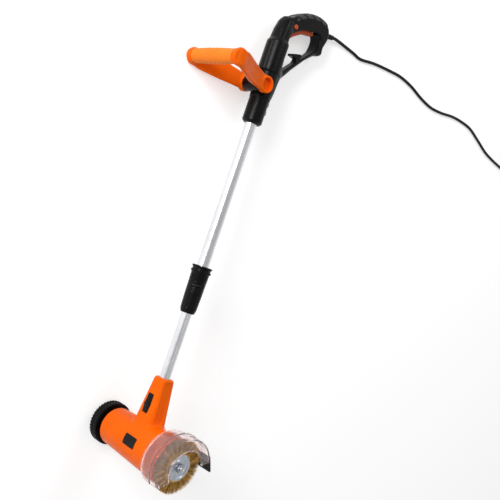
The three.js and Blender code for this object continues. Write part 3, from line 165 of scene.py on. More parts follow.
def filleted(profile, radius, steps=4, closed=False):
    """The profile with each corner rounded; a corner's third number is its own radius."""
    count = len(profile)
    made = []
    for i, corner in enumerate(profile):
        here = np.array(corner[:2], float)
        own = corner[2] if len(corner) > 2 else radius
        if not closed and i in (0, count - 1) or own <= 0:
            made.append(tuple(here))
            continue
        back = np.array(profile[i - 1][:2], float) - here
        ahead = np.array(profile[(i + 1) % count][:2], float) - here
        lb, la = np.linalg.norm(back), np.linalg.norm(ahead)
        half = acos(float(np.clip(back @ ahead / (lb * la), -1, 1))) / 2
        if half > STRAIGHT:
            made.append(tuple(here))
            continue
        reach = min(own / tan(half), lb * REACH, la * REACH)
        a, b = here + back / lb * reach, here + ahead / la * reach
        for k in range(steps + 1):
            s = k / steps
            made.append(tuple((1 - s) ** 2 * a + 2 * s * (1 - s) * here + s**2 * b))
    return made


def spun(profile, axis="x", count=96, offset=(0, 0, 0), closed=False):
    """Points and faces of a profile of (radius, place along) turned round an axis."""
    points, rows, faces = [], [], []
    for radius, along in profile:
        on_axis = radius < 1e-6
        rows.append([len(points) + (0 if on_axis else k) for k in range(count)])
        for k in range(1 if on_axis else count):
            turn = 2 * pi * k / count
            place = [radius * cos(turn), radius * sin(turn)]
            place.insert("xyz".index(axis), along)
            points.append(place)
    for low, high in zip(rows, rows[1:] + (rows[:1] if closed else [])):
        for k in range(count):
            j = (k + 1) % count
            corners = list(dict.fromkeys((low[k], low[j], high[j], high[k])))
            if len(corners) > 2:
                faces.append(corners)
    return np.array(points) + np.array(offset, float), faces


def lathe(name, profile, axis="x", count=96, offset=(0, 0, 0), closed=False, radius=0.0, steps=4, **rest):
    """A profile turned round an axis, with its corners rounded by the radius."""
    if radius:
        profile = filleted(profile, radius, steps, closed)
    return mesh_piece(name, *spun(profile, axis, count, offset, closed), **rest)


def rod(name, radius, low, high, axis="x", count=32, **rest):
    return lathe(name, [(0, low), (radius, low), (radius, high), (0, high)], axis, count, **rest)


def lofted(name, rings):
    """A skin through rings of as many tool-frame places each, closed at both ends."""
    n = len(rings[0])
    points = [p for ring in rings for p in ring]
    faces = [list(range(n)), list(range(len(points) - 1, len(points) - n - 1, -1))]
    for r in range(len(rings) - 1):
        a, b = r * n, (r + 1) * n
        faces += [[a + i, a + (i + 1) % n, b + (i + 1) % n, b + i] for i in range(n)]
    return mesh_piece(name, points, faces)


def prism(name, outline, low, high):
    """An outline of (z, y) places extruded along x."""
    return lofted(name, [[(x, y, z) for z, y in outline] for x in (low, high)])


def brick(name, x0, x1, y0, y1, z0, z1):
    return prism(name, [(z0, y0), (z1, y0), (z1, y1), (z0, y1)], x0, x1)


def shells(name, shape, low, high, pitch, tools, halves, body, slot):
    """A moulded and carved form as two shells; each has the brick that takes the other half away."""
    whole = carve(moulded(name, shape, low, high, pitch), tools)
    for piece, node, cut in halves:
        half = linked(piece, whole.data.copy())
        settle(carve(half, [brick("half", *cut)]), body, node, slot)
    bpy.data.objects.remove(whole)


# Rounded solids from distances
def round_and(a, b, radius):
    u, v = np.maximum(radius + a, 0), np.maximum(radius + b, 0)
    return np.minimum(np.maximum(a, b), -radius) + np.sqrt(u * u + v * v)


def round_or(a, b, radius):
    return -round_and(-a, -b, radius)


def round_cut(a, b, radius):
    return round_and(a, -b, radius)


def step(value, low, high):
    s = np.clip((value - low) / (high - low), 0, 1)
    return s * s * (3 - 2 * s)


def hump(value, full, none):
    """1 where the value is within full of zero, and 0 where it is none or more away."""
    return 1 - step(np.abs(value), full, none)


def from_nearest(angle, count, radius):
    """Distance along a circle of this radius from the nearest of count equal places."""
    turn = angle / (2 * pi) * count
    return np.abs(turn - np.round(turn)) * 2 * pi * radius / count


def outline_distance(u, v, outline):
    """Signed distance from a closed outline, negative inside."""
    corners = np.array(outline, float)
    best = np.full(len(u), 1e18)
    inside = np.zeros(len(u), bool)
    for a, b in zip(corners, np.roll(corners, 1, axis=0)):
        edge = b - a
        du, dv = u - a[0], v - a[1]
        s = np.clip((du * edge[0] + dv * edge[1]) / (edge @ edge), 0, 1)
        best = np.minimum(best, (du - s * edge[0]) ** 2 + (dv - s * edge[1]) ** 2)
        if a[1] != b[1]:
            inside ^= ((a[1] > v) != (b[1] > v)) & (u < edge[0] * dv / edge[1] + a[0])
    return np.where(inside, -1, 1) * np.sqrt(best)


def box_distance(u, v, half_u, half_v, corner):
    a, b = np.abs(u) - half_u + corner, np.abs(v) - half_v + corner
    return np.hypot(np.maximum(a, 0), np.maximum(b, 0)) + np.minimum(np.maximum(a, b), 0) - corner


def segment_distance(u, v, a, b):
    a, b = np.array(a, float), np.array(b, float)
    edge = b - a
    s = np.clip(((u - a[0]) * edge[0] + (v - a[1]) * edge[1]) / (edge @ edge), 0, 1)
    return np.hypot(u - a[0] - s * edge[0], v - a[1] - s * edge[1])


def spline(a, b, c, d, parts):
    """Places from b towards c on the centripetal Catmull-Rom curve through four places."""
    ta, tb, tc = (sqrt(np.linalg.norm(q - p)) for p, q in ((a, b), (b, c), (c, d)))
    first = ((b - a) / ta - (c - a) / (ta + tb) + (c - b) / tb) * tb
    last = ((c - b) / tb - (d - b) / (tb + tc) + (d - c) / tc) * tb
    return [(2 * s**3 - 3 * s**2 + 1) * b + (s**3 - 2 * s**2 + s) * first
            + (3 * s**2 - 2 * s**3) * c + (s**3 - s**2) * last for s in (k / parts for k in range(parts))]


def curved(outline, parts):
    """A closed outline with a smooth curve through its corners."""
    corners = np.array(outline, float)
    fours = zip(*(np.roll(corners, shift, axis=0) for shift in (1, 0, -1, -2)))
    return [place for four in fours for place in spline(*four, parts)]


def smooth_route(points, parts):
    """Places along a smooth curve through the points, from the first to the last."""
    pts = [np.array(p, float) for p in points]
    pts = [2 * pts[0] - pts[1], *pts, 2 * pts[-1] - pts[-2]]
    fours = zip(pts, pts[1:], pts[2:], pts[3:])
    return [place for four in fours for place in spline(*four, parts)] + [pts[-2]]


# The surface is looked for in blocks of BLOCK cells a side, then moved onto the shape in SETTLING steps
BLOCK, SETTLING = 4, 5


def isosurface(shape, low, high, pitch):
    """Points and quads of the surface where shape(x, y, z) is zero."""
    low = np.array(low, float)
    cells = np.ceil((np.array(high, float) - low) / (pitch * BLOCK)).astype(int)
    size = cells * BLOCK
    middle = shape(*(low + (np.argwhere(np.ones(cells)) + 0.5) * BLOCK * pitch).T)
    close = np.abs(middle) < BLOCK * pitch * 1.25
    values = np.kron(np.where(middle < 0, -1.0, 1.0).reshape(cells), np.ones((BLOCK,) * 3))
    active = np.kron(close.reshape(cells).astype(np.int8), np.ones((BLOCK,) * 3, np.int8)).astype(bool)
    values[active] = shape(*(low + np.argwhere(active) * pitch).T)
    sign = values < 0
    corners = [np.array(c) for c in np.ndindex(2, 2, 2)]
    total = sum(sign[tuple(slice(k, n - 1 + k) for k, n in zip(c, size))].astype(np.int8) for c in corners)
    cell = np.argwhere((total > 0) & (total < 8))
    placed = np.zeros((len(cell), 3))
    hits = np.zeros(len(cell))
    unit = np.eye(3, dtype=int)
    for axis in range(3):
        for c in corners:
            if c[axis]:
                continue
            a, b = cell + c, cell + c + unit[axis]
            va, vb = values[tuple(a.T)], values[tuple(b.T)]
            crossed = (va < 0) != (vb < 0)
            share = np.where(crossed, va / np.where(crossed, va - vb, 1), 0)
            placed += crossed[:, None] * (a + share[:, None] * unit[axis])
            hits += crossed
    points = low + placed / hits[:, None] * pitch
    number = np.full(size, -1)
    number[tuple(cell.T)] = np.arange(len(cell))
    quads = []
    for axis in range(3):
        p, q = unit[(axis + 1) % 3], unit[(axis + 2) % 3]
        edge = np.argwhere(np.diff(sign.astype(np.int8), axis=axis))
        edge = edge[(edge[:, (axis + 1) % 3] > 0) & (edge[:, (axis + 2) % 3] > 0)]
        ring = np.stack([number[tuple((edge - d).T)] for d in (0 * p, p, p + q, q)], 1)
        flip = sign[tuple(edge.T)]
        ring[flip] = ring[flip][:, ::-1]
        quads.append(ring)
    quads = np.concatenate(quads)
    quads = quads[(quads >= 0).all(1)]
    reach = pitch * 0.25
    for _ in range(SETTLING):
        slope = np.stack([(shape(*(points + d).T) - shape(*(points - d).T)) / (2 * reach)
                          for d in np.eye(3) * reach], 1)
        move = shape(*points.T) / np.maximum((slope * slope).sum(1), 0.05)
        points = points - np.clip(move, -pitch * 0.5, pitch * 0.5)[:, None] * slope
    return points, quads


def moulded(name, shape, low, high, pitch, part=None, place=lay):
    """A piece with the surface of a distance function between two corners of a box."""
    return mesh_piece(name, *isosurface(shape, low, high, pitch), part, MOULD_CREASE, place)


# Materials
def linear(colour):
    """A colour written as 0xrrggbb, in linear light."""
    parts = [(colour >> shift & 255) / 255 for shift in (16, 8, 0)]
    return [*(c / 12.92 if c <= 0.04045 else ((c + 0.055) / 1.055) ** 2.4 for c in parts), 1.0]


def shade(colour, factor):
    return [*(min(c * factor, 1.0) for c in colour[:3]), 1.0]


def blank_material(name):
    """A new material, its node tree and the inputs of its Principled shader."""
    made = bpy.data.materials.new(name)
    made.use_nodes = True
    return made, made.node_tree, made.node_tree.nodes["Principled BSDF"].inputs


def feed(tree, sockets, values):
    """Gives each named input its value, or a link from the output that is given."""
    for name, value in values.items():
        if isinstance(value, bpy.types.NodeSocket):
            tree.links.new(value, sockets[name])
        else:
            sockets[name].default_value = value


def computed(tree, kind, output, values=None, **settings):
    """An output of a new node with these inputs and settings."""
    made = tree.nodes.new(kind)
    for key, setting in settings.items():
        setattr(made, key, setting)
    feed(tree, made.inputs, values or {})
    return made.outputs[output]


def ranged(tree, value, low, high, out_low=0.0, out_high=1.0):
    return computed(tree, "ShaderNodeMapRange", "Result", {
        "Value": value, "From Min": low, "From Max": high, "To Min": out_low, "To Max": out_high})


def combined(tree, operation, first, second):
    return computed(tree, "ShaderNodeMath", 0, {0: first, 1: second}, operation=operation)


class Surface:
    """A Principled material whose colour, roughness and relief come from noise at set scales."""

    def __init__(self, name, colour, roughness, values):
        self.material, self.tree, self.inputs = blank_material(name)
        feed(self.tree, self.inputs, values)
        self.colour = self.base = linear(colour)
        self.roughness = roughness
        self.place = computed(self.tree, "ShaderNodeTexCoord", "Object")
        self.bumps = {}

    def stretched(self, scales, turn=(0, 0, 0)):
        return computed(self.tree, "ShaderNodeMapping", "Vector", {
            "Vector": self.place, "Scale": scales, "Rotation": turn})

    def noise(self, scale, detail=3.0, rough=0.5, vector=None):
        return computed(self.tree, "ShaderNodeTexNoise", "Fac", {
            "Vector": vector or self.place, "Scale": scale, "Detail": detail, "Roughness": rough})

    def blend(self, factor, first, second):
        self.base = computed(self.tree, "ShaderNodeMix", 2, {"Factor": factor, 6: first, 7: second},
                             data_type="RGBA")

    def mottle(self, scale, share):
        """Slow changes of the colour, lighter and darker by the share."""
        cloud = ranged(self.tree, self.noise(scale, 4.0, 0.55), 0.32, 0.68)
        self.blend(cloud, shade(self.colour, 1 - share), shade(self.colour, 1 + share))

    def specks(self, scale, low, factor):
        spots = ranged(self.tree, self.noise(scale, 2.0, 0.6), low, low + 0.05)
        self.blend(spots, self.base, shade(self.colour, factor))

    def worn_edges(self, factor):
        edge = computed(self.tree, "ShaderNodeNewGeometry", "Pointiness")
        patchy = ranged(self.tree, self.noise(260, 4.0, 0.7), 0.35, 0.65, 0.25, 1.0)
        worn = combined(self.tree, "MULTIPLY", ranged(self.tree, edge, 0.53, 0.62), patchy)
        self.blend(worn, self.base, shade(self.colour, factor))

    def gloss(self, scale, spread, vector=None):
        low, high = max(self.roughness - spread, 0.02), self.roughness + spread
        patch = ranged(self.tree, self.noise(scale, 4.0, 0.6, vector), 0.3, 0.7, low, high)
        feed(self.tree, self.inputs, {"Roughness": patch})

    def relief(self, height, strength, distance):
        self.bumps = {"Normal": computed(self.tree, "ShaderNodeBump", "Normal", {
            "Strength": strength, "Distance": distance, "Height": height, **self.bumps})}

    def done(self):
        feed(self.tree, self.inputs, {"Base Color": self.base, **self.bumps})
        return self.material


def plastic(name, colour, roughness, grain, depth, share, specular):
    made = Surface(name, colour, roughness, {"Specular IOR Level": specular})
    made.mottle(22, share)
    made.specks(700, 0.74, 1.5)
    made.worn_edges(1.35)
    made.gloss(60, roughness * 0.22)
    made.relief(made.noise(grain, 3.0, 0.6), 0.35, depth)
    made.relief(made.noise(90, 2.0, 0.5), 0.12, 0.0004)
    return made.done()


def drawn_metal(name, colour, roughness, along, share):
    """Drawn or turned metal with fine streaks; along holds the scales of the streaks."""
    made = Surface(name, colour, roughness, {"Metallic": 1.0})
    made.mottle(18, share)
    streaks = made.noise(1.0, 5.0, 0.65, made.stretched(along))
    made.blend(ranged(made.tree, streaks, 0.52, 0.72, 0, 0.35), made.base, shade(made.colour, 0.72))
    made.gloss(1.0, roughness * 0.35, made.stretched([s * 0.6 for s in along]))
    made.relief(streaks, 0.25, 0.00008)
    return made.done()


def cast_metal(name, colour, roughness, grain, share):
    made = Surface(name, colour, roughness, {"Metallic": 1.0})
    made.mottle(120, share)
    made.specks(420, 0.66, 0.6)
    made.gloss(150, roughness * 0.3)
    made.relief(made.noise(grain, 4.0, 0.6), 0.3, 0.0001)
    return made.done()


def clear_plastic(name, colour, roughness):
    made = Surface(name, colour, roughness, {"IOR": 1.3, "Transmission Weight": 0.94})
    made.mottle(35, 0.03)
    made.gloss(240, roughness * 0.6)
    scratches = made.noise(1.0, 3.0, 0.7, made.stretched((900, 60, 300), (0.3, 0.5, 0.2)))
    made.relief(scratches, 0.06, 0.0001)
    return made.done()


# Colour, roughness, scale and depth of the grain in metres, share of mottling, specular level
PLASTICS = {
    "orange_plastic": (0xFA6807, 0.3, 1500, 0.00006, 0.05, 0.06),
    "grip_orange": (0xFF8420, 0.5, 1100, 0.00012, 0.05, 0.18),
    "trigger_orange": (0xC85018, 0.42, 1300, 0.00008, 0.05, 0.3),
    "black_plastic": (0x090909, 0.3, 900, 0.0001, 0.12, 0.13),
    # soft_black is a soft grey, made lighter still as a painted highlight along the pad's lit top rim
    "soft_black": (0x3A3A3E, 0.5, 1200, 0.00012, 0.1, 0.3),
    "black_rubber": (0x0F0F10, 0.55, 700, 0.00012, 0.12, 0.2),
    "tyre_rubber": (0x060607, 0.45, 600, 0.00016, 0.15, 0.1),
    "label_grey": (0x0E0E10, 0.34, 1600, 0.00004, 0.1, 0.14),
}
# Colour, roughness, scales of the streaks, share of mottling
DRAWN_METALS = {
    "tube_aluminium": (0xE4E5E8, 0.24, (1400, 9, 1400), 0.06),
    "steel": (0xB9BBBF, 0.3, (900, 900, 900), 0.06),
    "brass": (0xC9A75A, 0.28, (900, 900, 900), 0.06),
    "copper": (0xB9703F, 0.35, (1500, 300, 1500), 0.15),
    "core_steel": (0x6C6E72, 0.45, (2600, 80, 2600), 0.12),
}
# Colour, roughness, scale of the grain, share of mottling
CAST_METALS = {
    "die_cast": (0xA9ABAE, 0.45, 900, 0.09),
    "zinc": (0xB4BAC2, 0.26, 1200, 0.14),
    "brass_wire": (0xC29A55, 0.42, 1400, 0.3),
}
MATERIALS = {"clear_plastic": clear_plastic("clear_plastic", 0xFFF4F4, 0.02)}
for made_by, looks in ((plastic, PLASTICS), (drawn_metal, DRAWN_METALS), (cast_metal, CAST_METALS)):
    for slot_name, look in looks.items():
        MATERIALS[slot_name] = made_by(slot_name, *look)


def paint(piece, slot):
    piece.data.materials.clear()
    piece.data.materials.append(MATERIALS[slot])


# Cord
CORD_RADIUS = 3.5
CORD_LEVEL = 3.75
SLEEVE_ROOT = np.array([0.0, 912.5, -117.0])
SLEEVE_TILT = radians(15)
SLEEVE_AXIS = np.array([0.0, sin(SLEEVE_TILT), -cos(SLEEVE_TILT)])
SLEEVE_LENGTH = 32.0
SLEEVE_STARTS = (-12, 0, 16, SLEEVE_LENGTH, 39)
CORD_PLACES = [
    [222.8, 914.5], [246.2, 912.5], [292.3, 922.7], [344.1, 929.9], [386.9, 933.7], [435.9, 929.5],
    [475.6, 921], [524.1, 915.2], [567.6, 919], [614.3, 928.1], [655.9, 931.3], [699.5, 929.5],
    [747, 916.5], [800.8, 900.4], [842.7, 893.9], [888.3, 889.5], [921.7, 888], [928.7, 888],
]
COIL_X, COIL_Y, COIL_OUTER, COIL_PITCH = 936.0, 888.0, 46.0, 7.6
COIL_TURNS, COIL_STEPS, ROUTE_PARTS = 4, 32, 6
PLUG_RUN, PLUG_LEVEL = 120.0, 7.1
TAIL_PLACES = [[7, 11.35], [45, 9.6], [85, 7.6], [112, PLUG_LEVEL], [PLUG_RUN, PLUG_LEVEL]]


def coil_place(turns):
    """The coil runs inwards and, half way, climbs onto itself and runs out again."""
    radius = COIL_OUTER - COIL_PITCH * (COIL_TURNS / 2 - abs(turns - COIL_TURNS / 2))
    climbed = min(max((turns - COIL_TURNS / 2) * 2 + 0.5, 0), 1)
    angle = turns * 2 * pi - pi / 2
    return [COIL_X + radius * cos(angle), COIL_Y + COIL_OUTER + radius * sin(angle),
            CORD_LEVEL + COIL_PITCH * climbed]


def cord_route():
    out = [lay(SLEEVE_ROOT + SLEEVE_AXIS * s) for s in SLEEVE_STARTS]
    run = [*out, *on_floor([[x, y, CORD_LEVEL] for x, y in CORD_PLACES])]
    coil = on_floor([coil_place(k / COIL_STEPS) for k in range(COIL_TURNS * COIL_STEPS + 1)])
    tail = on_floor([[COIL_X + x, COIL_Y, z] for x, z in TAIL_PLACES])
    return [*smooth_route(run, ROUTE_PARTS), *coil, *smooth_route(tail, ROUTE_PARTS)]


def curve_piece(name, places, radius):
    """A round curve; its thickness is in the points' radius, and the bevel's own is 1."""
    data = bpy.data.curves.new(name, "CURVE")
    data.dimensions = "3D"
    data.bevel_depth = 1.0
    data.bevel_resolution = 5
    data.use_fill_caps = True
    path = data.splines.new("POLY")
    path.points.add(len(places) - 1)
    for point, place in zip(path.points, places):
        point.co = (*place, 1)
        point.radius = radius
    path.use_smooth = True
    return linked(name, data)


flex = curve_piece("cord_flex", cord_route(), CORD_RADIUS * MM)
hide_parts("mains_cord", "mains_cord_coil", "mains_cord_tail")
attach(flex, "pole_and_handle")

# Motor housing and neck
DRUM_FROM, DRUM_TO, DRUM_SMALL, DRUM_LARGE = -94.0, 62.0, 38.0, 45.5
NECK_TOP, NECK_CORNER = 134.0, 12.0
# Half widths of the neck at its heights, evened out over 12.5 mm
NECK_HEIGHTS = np.linspace(-30, 160, 381)
NECK_HALVES = np.convolve(
    np.pad(np.interp(NECK_HEIGHTS, [8, 34, 129, 134], [31, 25.2, 17.5, 17.1]), 12, mode="edge"),
    np.ones(25) / 25, mode="valid")


def drum_radius(x):
    return DRUM_SMALL + (x - DRUM_FROM) / (DRUM_TO - DRUM_FROM) * (DRUM_LARGE - DRUM_SMALL)


def housing_shape(x, y, z):
    side = np.hypot(y, z) - drum_radius(x) - 0.9 * step(x, 53.2, 54.2)
    drum = round_and(round_and(side, DRUM_FROM - x, 4.0), x - DRUM_TO, 1.2)
    half = np.interp(y, NECK_HEIGHTS, NECK_HALVES)
    column = box_distance(x, z, half, half, NECK_CORNER)
    column = np.maximum(round_and(column, y - NECK_TOP, 5.0), 4 - y)
    inset = box_distance(y - 88, z, 41, 10.5, 9.0)
    column = column + 1.3 * (1 - step(inset, -1.4, 0.4)) * step(np.abs(x), 6, 12)
    column = column + 0.9 * hump(np.hypot(x, y - 113), 1.2, 2.6) * step(z, 4, 8)
    return round_or(drum, column, 8.0)


def rounded_square(half, corner, y, steps=5):
    """A ring round the neck at the height y."""
    made = []
    for quarter in range(4):
        middle = pi / 4 + quarter * pi / 2
        reach = (half - corner) * sqrt(2)
        for k in range(steps):
            angle = quarter * pi / 2 + k / (steps - 1) * pi / 2
            made.append((reach * sin(middle) + corner * sin(angle), y,
                         reach * cos(middle) + corner * cos(angle)))
    return made


# Half of the gap between two shells
SEAM = 0.15
PLATE_X, PLATE_Y, PLATE_GAP = (-10.5, 25.5), (-4.0, 16.5), 0.3
SCREW_X, SCREW_Y = -80.5, 27.0


def button_ring(y, half, back, front):
    """A cross-section of the release button, or of its pocket, at the height y."""
    return [(-half, y, back), (half, y, back), (half, y, front), (-half, y, front)]


def housing_tools():
    tools = [
        lathe("chamber", [
            (0, -91), (33.3, -91), (33.3, -84.5), (11.3, -84.5), (11.3, -76.6), (36.3, -76.6), (36.3, 1),
            (40.7, 1), (40.7, 70), (0, 70)], count=64),
        lofted("neck_hollow", [rounded_square(22.4, 9.2, 8), rounded_square(19.6, 9.2, 52)]),
        lathe("pole_bore", [(0, 56), (11.3, 56), (11.3, 132), (12.2, 140), (0, 140)], "y", 64),
        rod("axle_bore", 4.3, -100, -88),
        lofted("button_pocket", [
            button_ring(y, half, 11.8, 60) for y, half in ((61.6, 7.6), (79, 9.2), (100.4, 7.6))]),
    ]
    (x0, x1), (y0, y1) = PLATE_X, PLATE_Y
    bed = brick("plate_bed", x0 - PLATE_GAP, x1 + PLATE_GAP, y0 - PLATE_GAP, y1 + PLATE_GAP, 30, 60)
    inner = lathe("plate_core", [
        (0, -40), (drum_radius(-40) - 0.7, -40), (drum_radius(50) - 0.7, 50), (0, 50)], count=192)
    tools.append(carve(rounded_edges(bed, 2.2), [inner]))
    for y in (SCREW_Y, -SCREW_Y):
        tools.append(lathe("seat", [
            (0, -60), (3.6, -60), (3.6, -13), (2, -13), (2, 13.3), (0, 13.3)], "z", 32, (SCREW_X, y, 0)))
    return tools


shells("housing", housing_shape, (-97, -50, -50), (65, 138, 50), 1.4, housing_tools(), [
    ("housing_front", "head_front_shell", (-120, 90, -80, 160, -80, SEAM)),
    ("housing_rear", "head_rear_shell", (-120, 90, -80, 160, -SEAM, 80))], "head", "orange_plastic")


def plate_shape(x, y, z):
    off = np.hypot(y, z) - drum_radius(x) - 0.6
    (x0, x1), (y0, y1) = PLATE_X, PLATE_Y
    edge = box_distance(x - (x0 + x1) / 2, y - (y0 + y1) / 2, (x1 - x0) / 2 - 0.1, (y1 - y0) / 2 - 0.1, 2.2)
    off = off - 0.25 * step(edge, -2.0, -1.5)
    return round_and(round_and(off, -off - 1.0, 0.25), edge, 0.4)


moulded("plate", plate_shape, (-13, -6, 34), (28, 19, 48), 0.42,
        ("head", "rating_plate", "label_grey"))

for number, y in ((1, SCREW_Y), (2, -SCREW_Y)):
    lathe(f"housing_screw_{number}", [
        (0, -14.4), (0.9, -14.4), (1.1, -15.4), (2.4, -15.4), (3.2, -14.6), (3.2, -13.2), (1.7, -13),
        (1.7, 13), (0, 13)], "z", 32, (SCREW_X, y, 0), radius=0.2,
        part=("head", f"head_screw_{number}", "steel"))

wedge = lofted("release_wedge", [button_ring(y, half, 14.5, front) for y, half, front in (
    (62, 7.2, 22.2), (64, 7.4, 22.8), (77.9, 8.7, 22.4), (78.5, 8.8, 24.0),
    (79.9, 8.8, 24.0), (80.5, 8.7, 22.2), (98, 7.4, 20.4), (100, 7.2, 19.4))])
rounded_edges(wedge, 0.5)
settle(wedge, "release_button", "pole_release_button", "black_plastic")

# Gearbox cover, guard, flap
lathe("cover", [
    (23.5, 46.3), (40.4, 46.3), (40.4, 62.3), (48.6, 62.3), (49.2, 63.0), (49.2, 64.8), (48.3, 65.3),
    (48.3, 66.2), (49.2, 66.7), (49.2, 70), (46, 70), (45, 68.8), (30, 68.8), (29, 70), (24, 70), (21.6, 77),
    (7.5, 77), (7.5, 62.9), (16.3, 62.9), (16.3, 52.3), (9, 52.3), (9, 50.6), (23.5, 50.6)],
    count=128, closed=True, radius=0.5, steps=3, part=("head", "gearbox_cover", "orange_plastic"))

# The guard's mouth, by angles from straight down through the front
GUARD_FRONT, GUARD_REAR, MOUTH_PARTS, MOUTH_REACH = radians(56), radians(252), 16, 120
guard = lathe("guard_drum", [
    (49.8, 64.2), (51.8, 64.2), (51.8, 67), (58.5, 74, 3), (61.3, 101.6, 0.4), (61.4, 102.8, 0.4),
    (63, 103.2, 0.5), (63, 104.9, 0.5), (61.4, 105.2, 0.4), (60.6, 130, 1.6), (40.4, 130, 0.4),
    (39.9, 131.4, 0.5), (38.5, 131.4, 0.5), (38.5, 127.8), (58.4, 127.8, 1.5), (59.2, 104),
    (56.3, 76.2, 2.5), (49.8, 69.2, 1.5)], count=160, closed=True, radius=0.7, steps=3)
mouth = [(0.0, 0.0)]
for turn in np.linspace(GUARD_REAR, GUARD_FRONT + 2 * pi, MOUTH_PARTS + 1):
    mouth.append((MOUTH_REACH * sin(turn), -MOUTH_REACH * cos(turn)))
carve(guard, [prism("mouth", mouth, 67, 140)])
rounded_edges(guard, 0.5, 2, 50)
settle(guard, "head", "brush_guard", "clear_plastic")


def flap_shape(x, y, z):
    top, bottom = np.array([30.0, -55.9]), np.array([-1.0, -70.8])
    length = np.linalg.norm(bottom - top)
    run = (bottom - top) / length
    down = (y - top[0]) * run[0] + (z - top[1]) * run[1]
    off = (y - top[0]) * run[1] - (z - top[1]) * run[0]
    sheet = np.abs(off - 1.0) - 1.0 + 0.35 * hump(down - 6, 1.2, 1.9)
    edge = box_distance(x - 103.25, down - length / 2, 25.2, length / 2, 3.0)
    return round_and(sheet, edge, 0.45)


moulded("rubber_flap", flap_shape, (76, -4, -76), (131, 34, -50), 0.7,
        ("head", "guard_flap", "black_rubber"))

# Brush
lathe("hub_discs", [
    (5.4, 96.3), (25.5, 96.3), (25.5, 98.8), (9, 98.8), (9, 111.5), (25.5, 111.5), (25.5, 113.2), (24.6, 114),
    (20.5, 114), (19.6, 113.1), (16.5, 113.1), (15.6, 114), (5.4, 114)],
    closed=True, radius=0.5, steps=3, part=("brush_spindle", "brush_hub", "zinc"))

nut = prism("clamp_nut_brush", [
    (9 * cos(k * pi / 3), 9 * sin(k * pi / 3)) for k in range(6)], 114.3, 121)
carve(nut, [rod("nut_bore", 5.3, 110, 125)])
chamfered = lathe("nut_round", [
    (0, 114.0), (8.3, 114.0), (9.05, 115.0), (9.05, 120.3), (8.3, 121.1), (0, 121.1)], count=64)
carve(nut, [chamfered], "INTERSECT")
rounded_edges(nut, 0.25, 2, 40)
settle(nut, "brush_spindle", "brush_nut", "zinc")

thread = [(5.0 - 0.45 * (k % 2), 96.6 + 0.75 * k) for k in range(37)]
spindle = lathe("output_spindle", [
    (0, 45.4), (22.5, 45.4), (22.5, 49.6), (6, 49.6), (6, 90), (11, 90), (11, 96), (5, 96), *thread,
    (4.2, 124), (1.6, 124), (0.8, 122.6), (0, 122.6)], count=48)


def joined(first, *others):
    """The first piece with the meshes of the others added, which are removed."""
    bm = bmesh.new()
    for piece in (first, *others):
        bm.from_mesh(piece.data)
    bm.to_mesh(first.data)
    bm.free()
    for piece in others:
        bpy.data.objects.remove(piece)
    return smoothed(first)


pins = []
for turn in (pi / 2 + k * 2 * pi / 3 for k in range(3)):
    place = (0, 15 * sin(turn), 15 * cos(turn))
    pins.append(rod("pin", 2.5, 31.5, 49.3, count=24, offset=place))
settle(joined(spindle, *pins), "brush_spindle", "planet_carrier_spindle", "steel")

WIRES, WIRE_RADIUS, WIRE_PARTS = 3800, 0.24, 7
WIRE_ROOT, WIRE_TIP, WIRE_MIDDLE = 16, 52.8, 105.15
draw = np.random.default_rng(20517)


def wire_ring():
    """Crimped wires that stand out of the hub, with a dense collar at their roots."""
    points, faces = [], []
    for _ in range(WIRES):
        turn = draw.uniform(0, 2 * pi)
        place = draw.uniform(-1, 1)
        lean, flare = draw.normal(0, 0.07), draw.normal(0, 0.9)
        tip = WIRE_TIP - abs(draw.normal(0, 2.0))
        phase, swing = draw.uniform(0, 2 * pi, 2), draw.uniform(0.25, 0.75)
        start = len(points)
        for k in range(WIRE_PARTS + 1):
            s = k / WIRE_PARTS
            radius = WIRE_ROOT + (tip - WIRE_ROOT) * s
            wave = swing * np.sin(phase + 9.5 * s)
            x = WIRE_MIDDLE + place * (4.9 + 1.6 * s) + flare * s * s + wave[0] * s
            angle = turn + lean * s + wave[1] / radius
            thin = WIRE_RADIUS * (1 if k < WIRE_PARTS else 0.7)
            for c in range(3):
                t = turn * 7 + c * 2 * pi / 3
                a, b = thin * cos(t), thin * sin(t)
                points.append((x + a, radius * cos(angle) - b * sin(angle),
                               radius * sin(angle) + b * cos(angle)))
        for k in range(WIRE_PARTS):
            for c in range(3):
                low, high = start + 3 * k, start + 3 * (k + 1)
                d = (c + 1) % 3
                faces.append((low + c, low + d, high + d, high + c))
        end = start + 3 * WIRE_PARTS
        faces += [(start, start + 2, start + 1), (end, end + 1, end + 2)]
    section = [(9.3, 99.1), (26, 99.1), (31, 100.6), (31, 109.7), (26, 111.2), (9.3, 111.2)]
    collar, collar_faces = spun(filleted(section, 1.0, 3, True), "x", 90, closed=True)
    offset = len(points)
    ripple = 1 + 0.006 * np.sin(np.arange(len(collar)) * 2.4)
    points.extend(collar * np.stack([np.ones(len(collar)), ripple, ripple], 1))
    faces.extend([[i + offset for i in face] for face in collar_faces])
    mesh_piece("wire_wheel", points, faces, ("brush_spindle", "wire_bristles", "brass_wire"), MOULD_CREASE)


wire_ring()

# Guide wheel
LUGS, LUG_SHARE, TYRE_MIDDLE, TYRE_RADIUS = 40, 0.62, -110.75, 43


def tyre_shape(x, y, z):
    radius = np.hypot(y, z)
    across = np.abs(x - TYRE_MIDDLE)
    half_turn = pi * LUG_SHARE / LUGS
    half = half_turn * TYRE_RADIUS
    lug = hump(from_nearest(np.arctan2(y, z) - half_turn, LUGS, TYRE_RADIUS), half - 0.6, half + 0.4)
    height = TYRE_RADIUS - 0.3 + 1.3 * lug * (1 - 0.9 * hump(across, 0.7, 1.6))
    outer = round_and(radius - height, across - 10.25, 1.6)
    side = 0.5 * hump(radius - 39.4, 0.5, 1.1) * step(across, 8, 9.5)
    return round_and(outer + side, 37 - radius, 0.6)


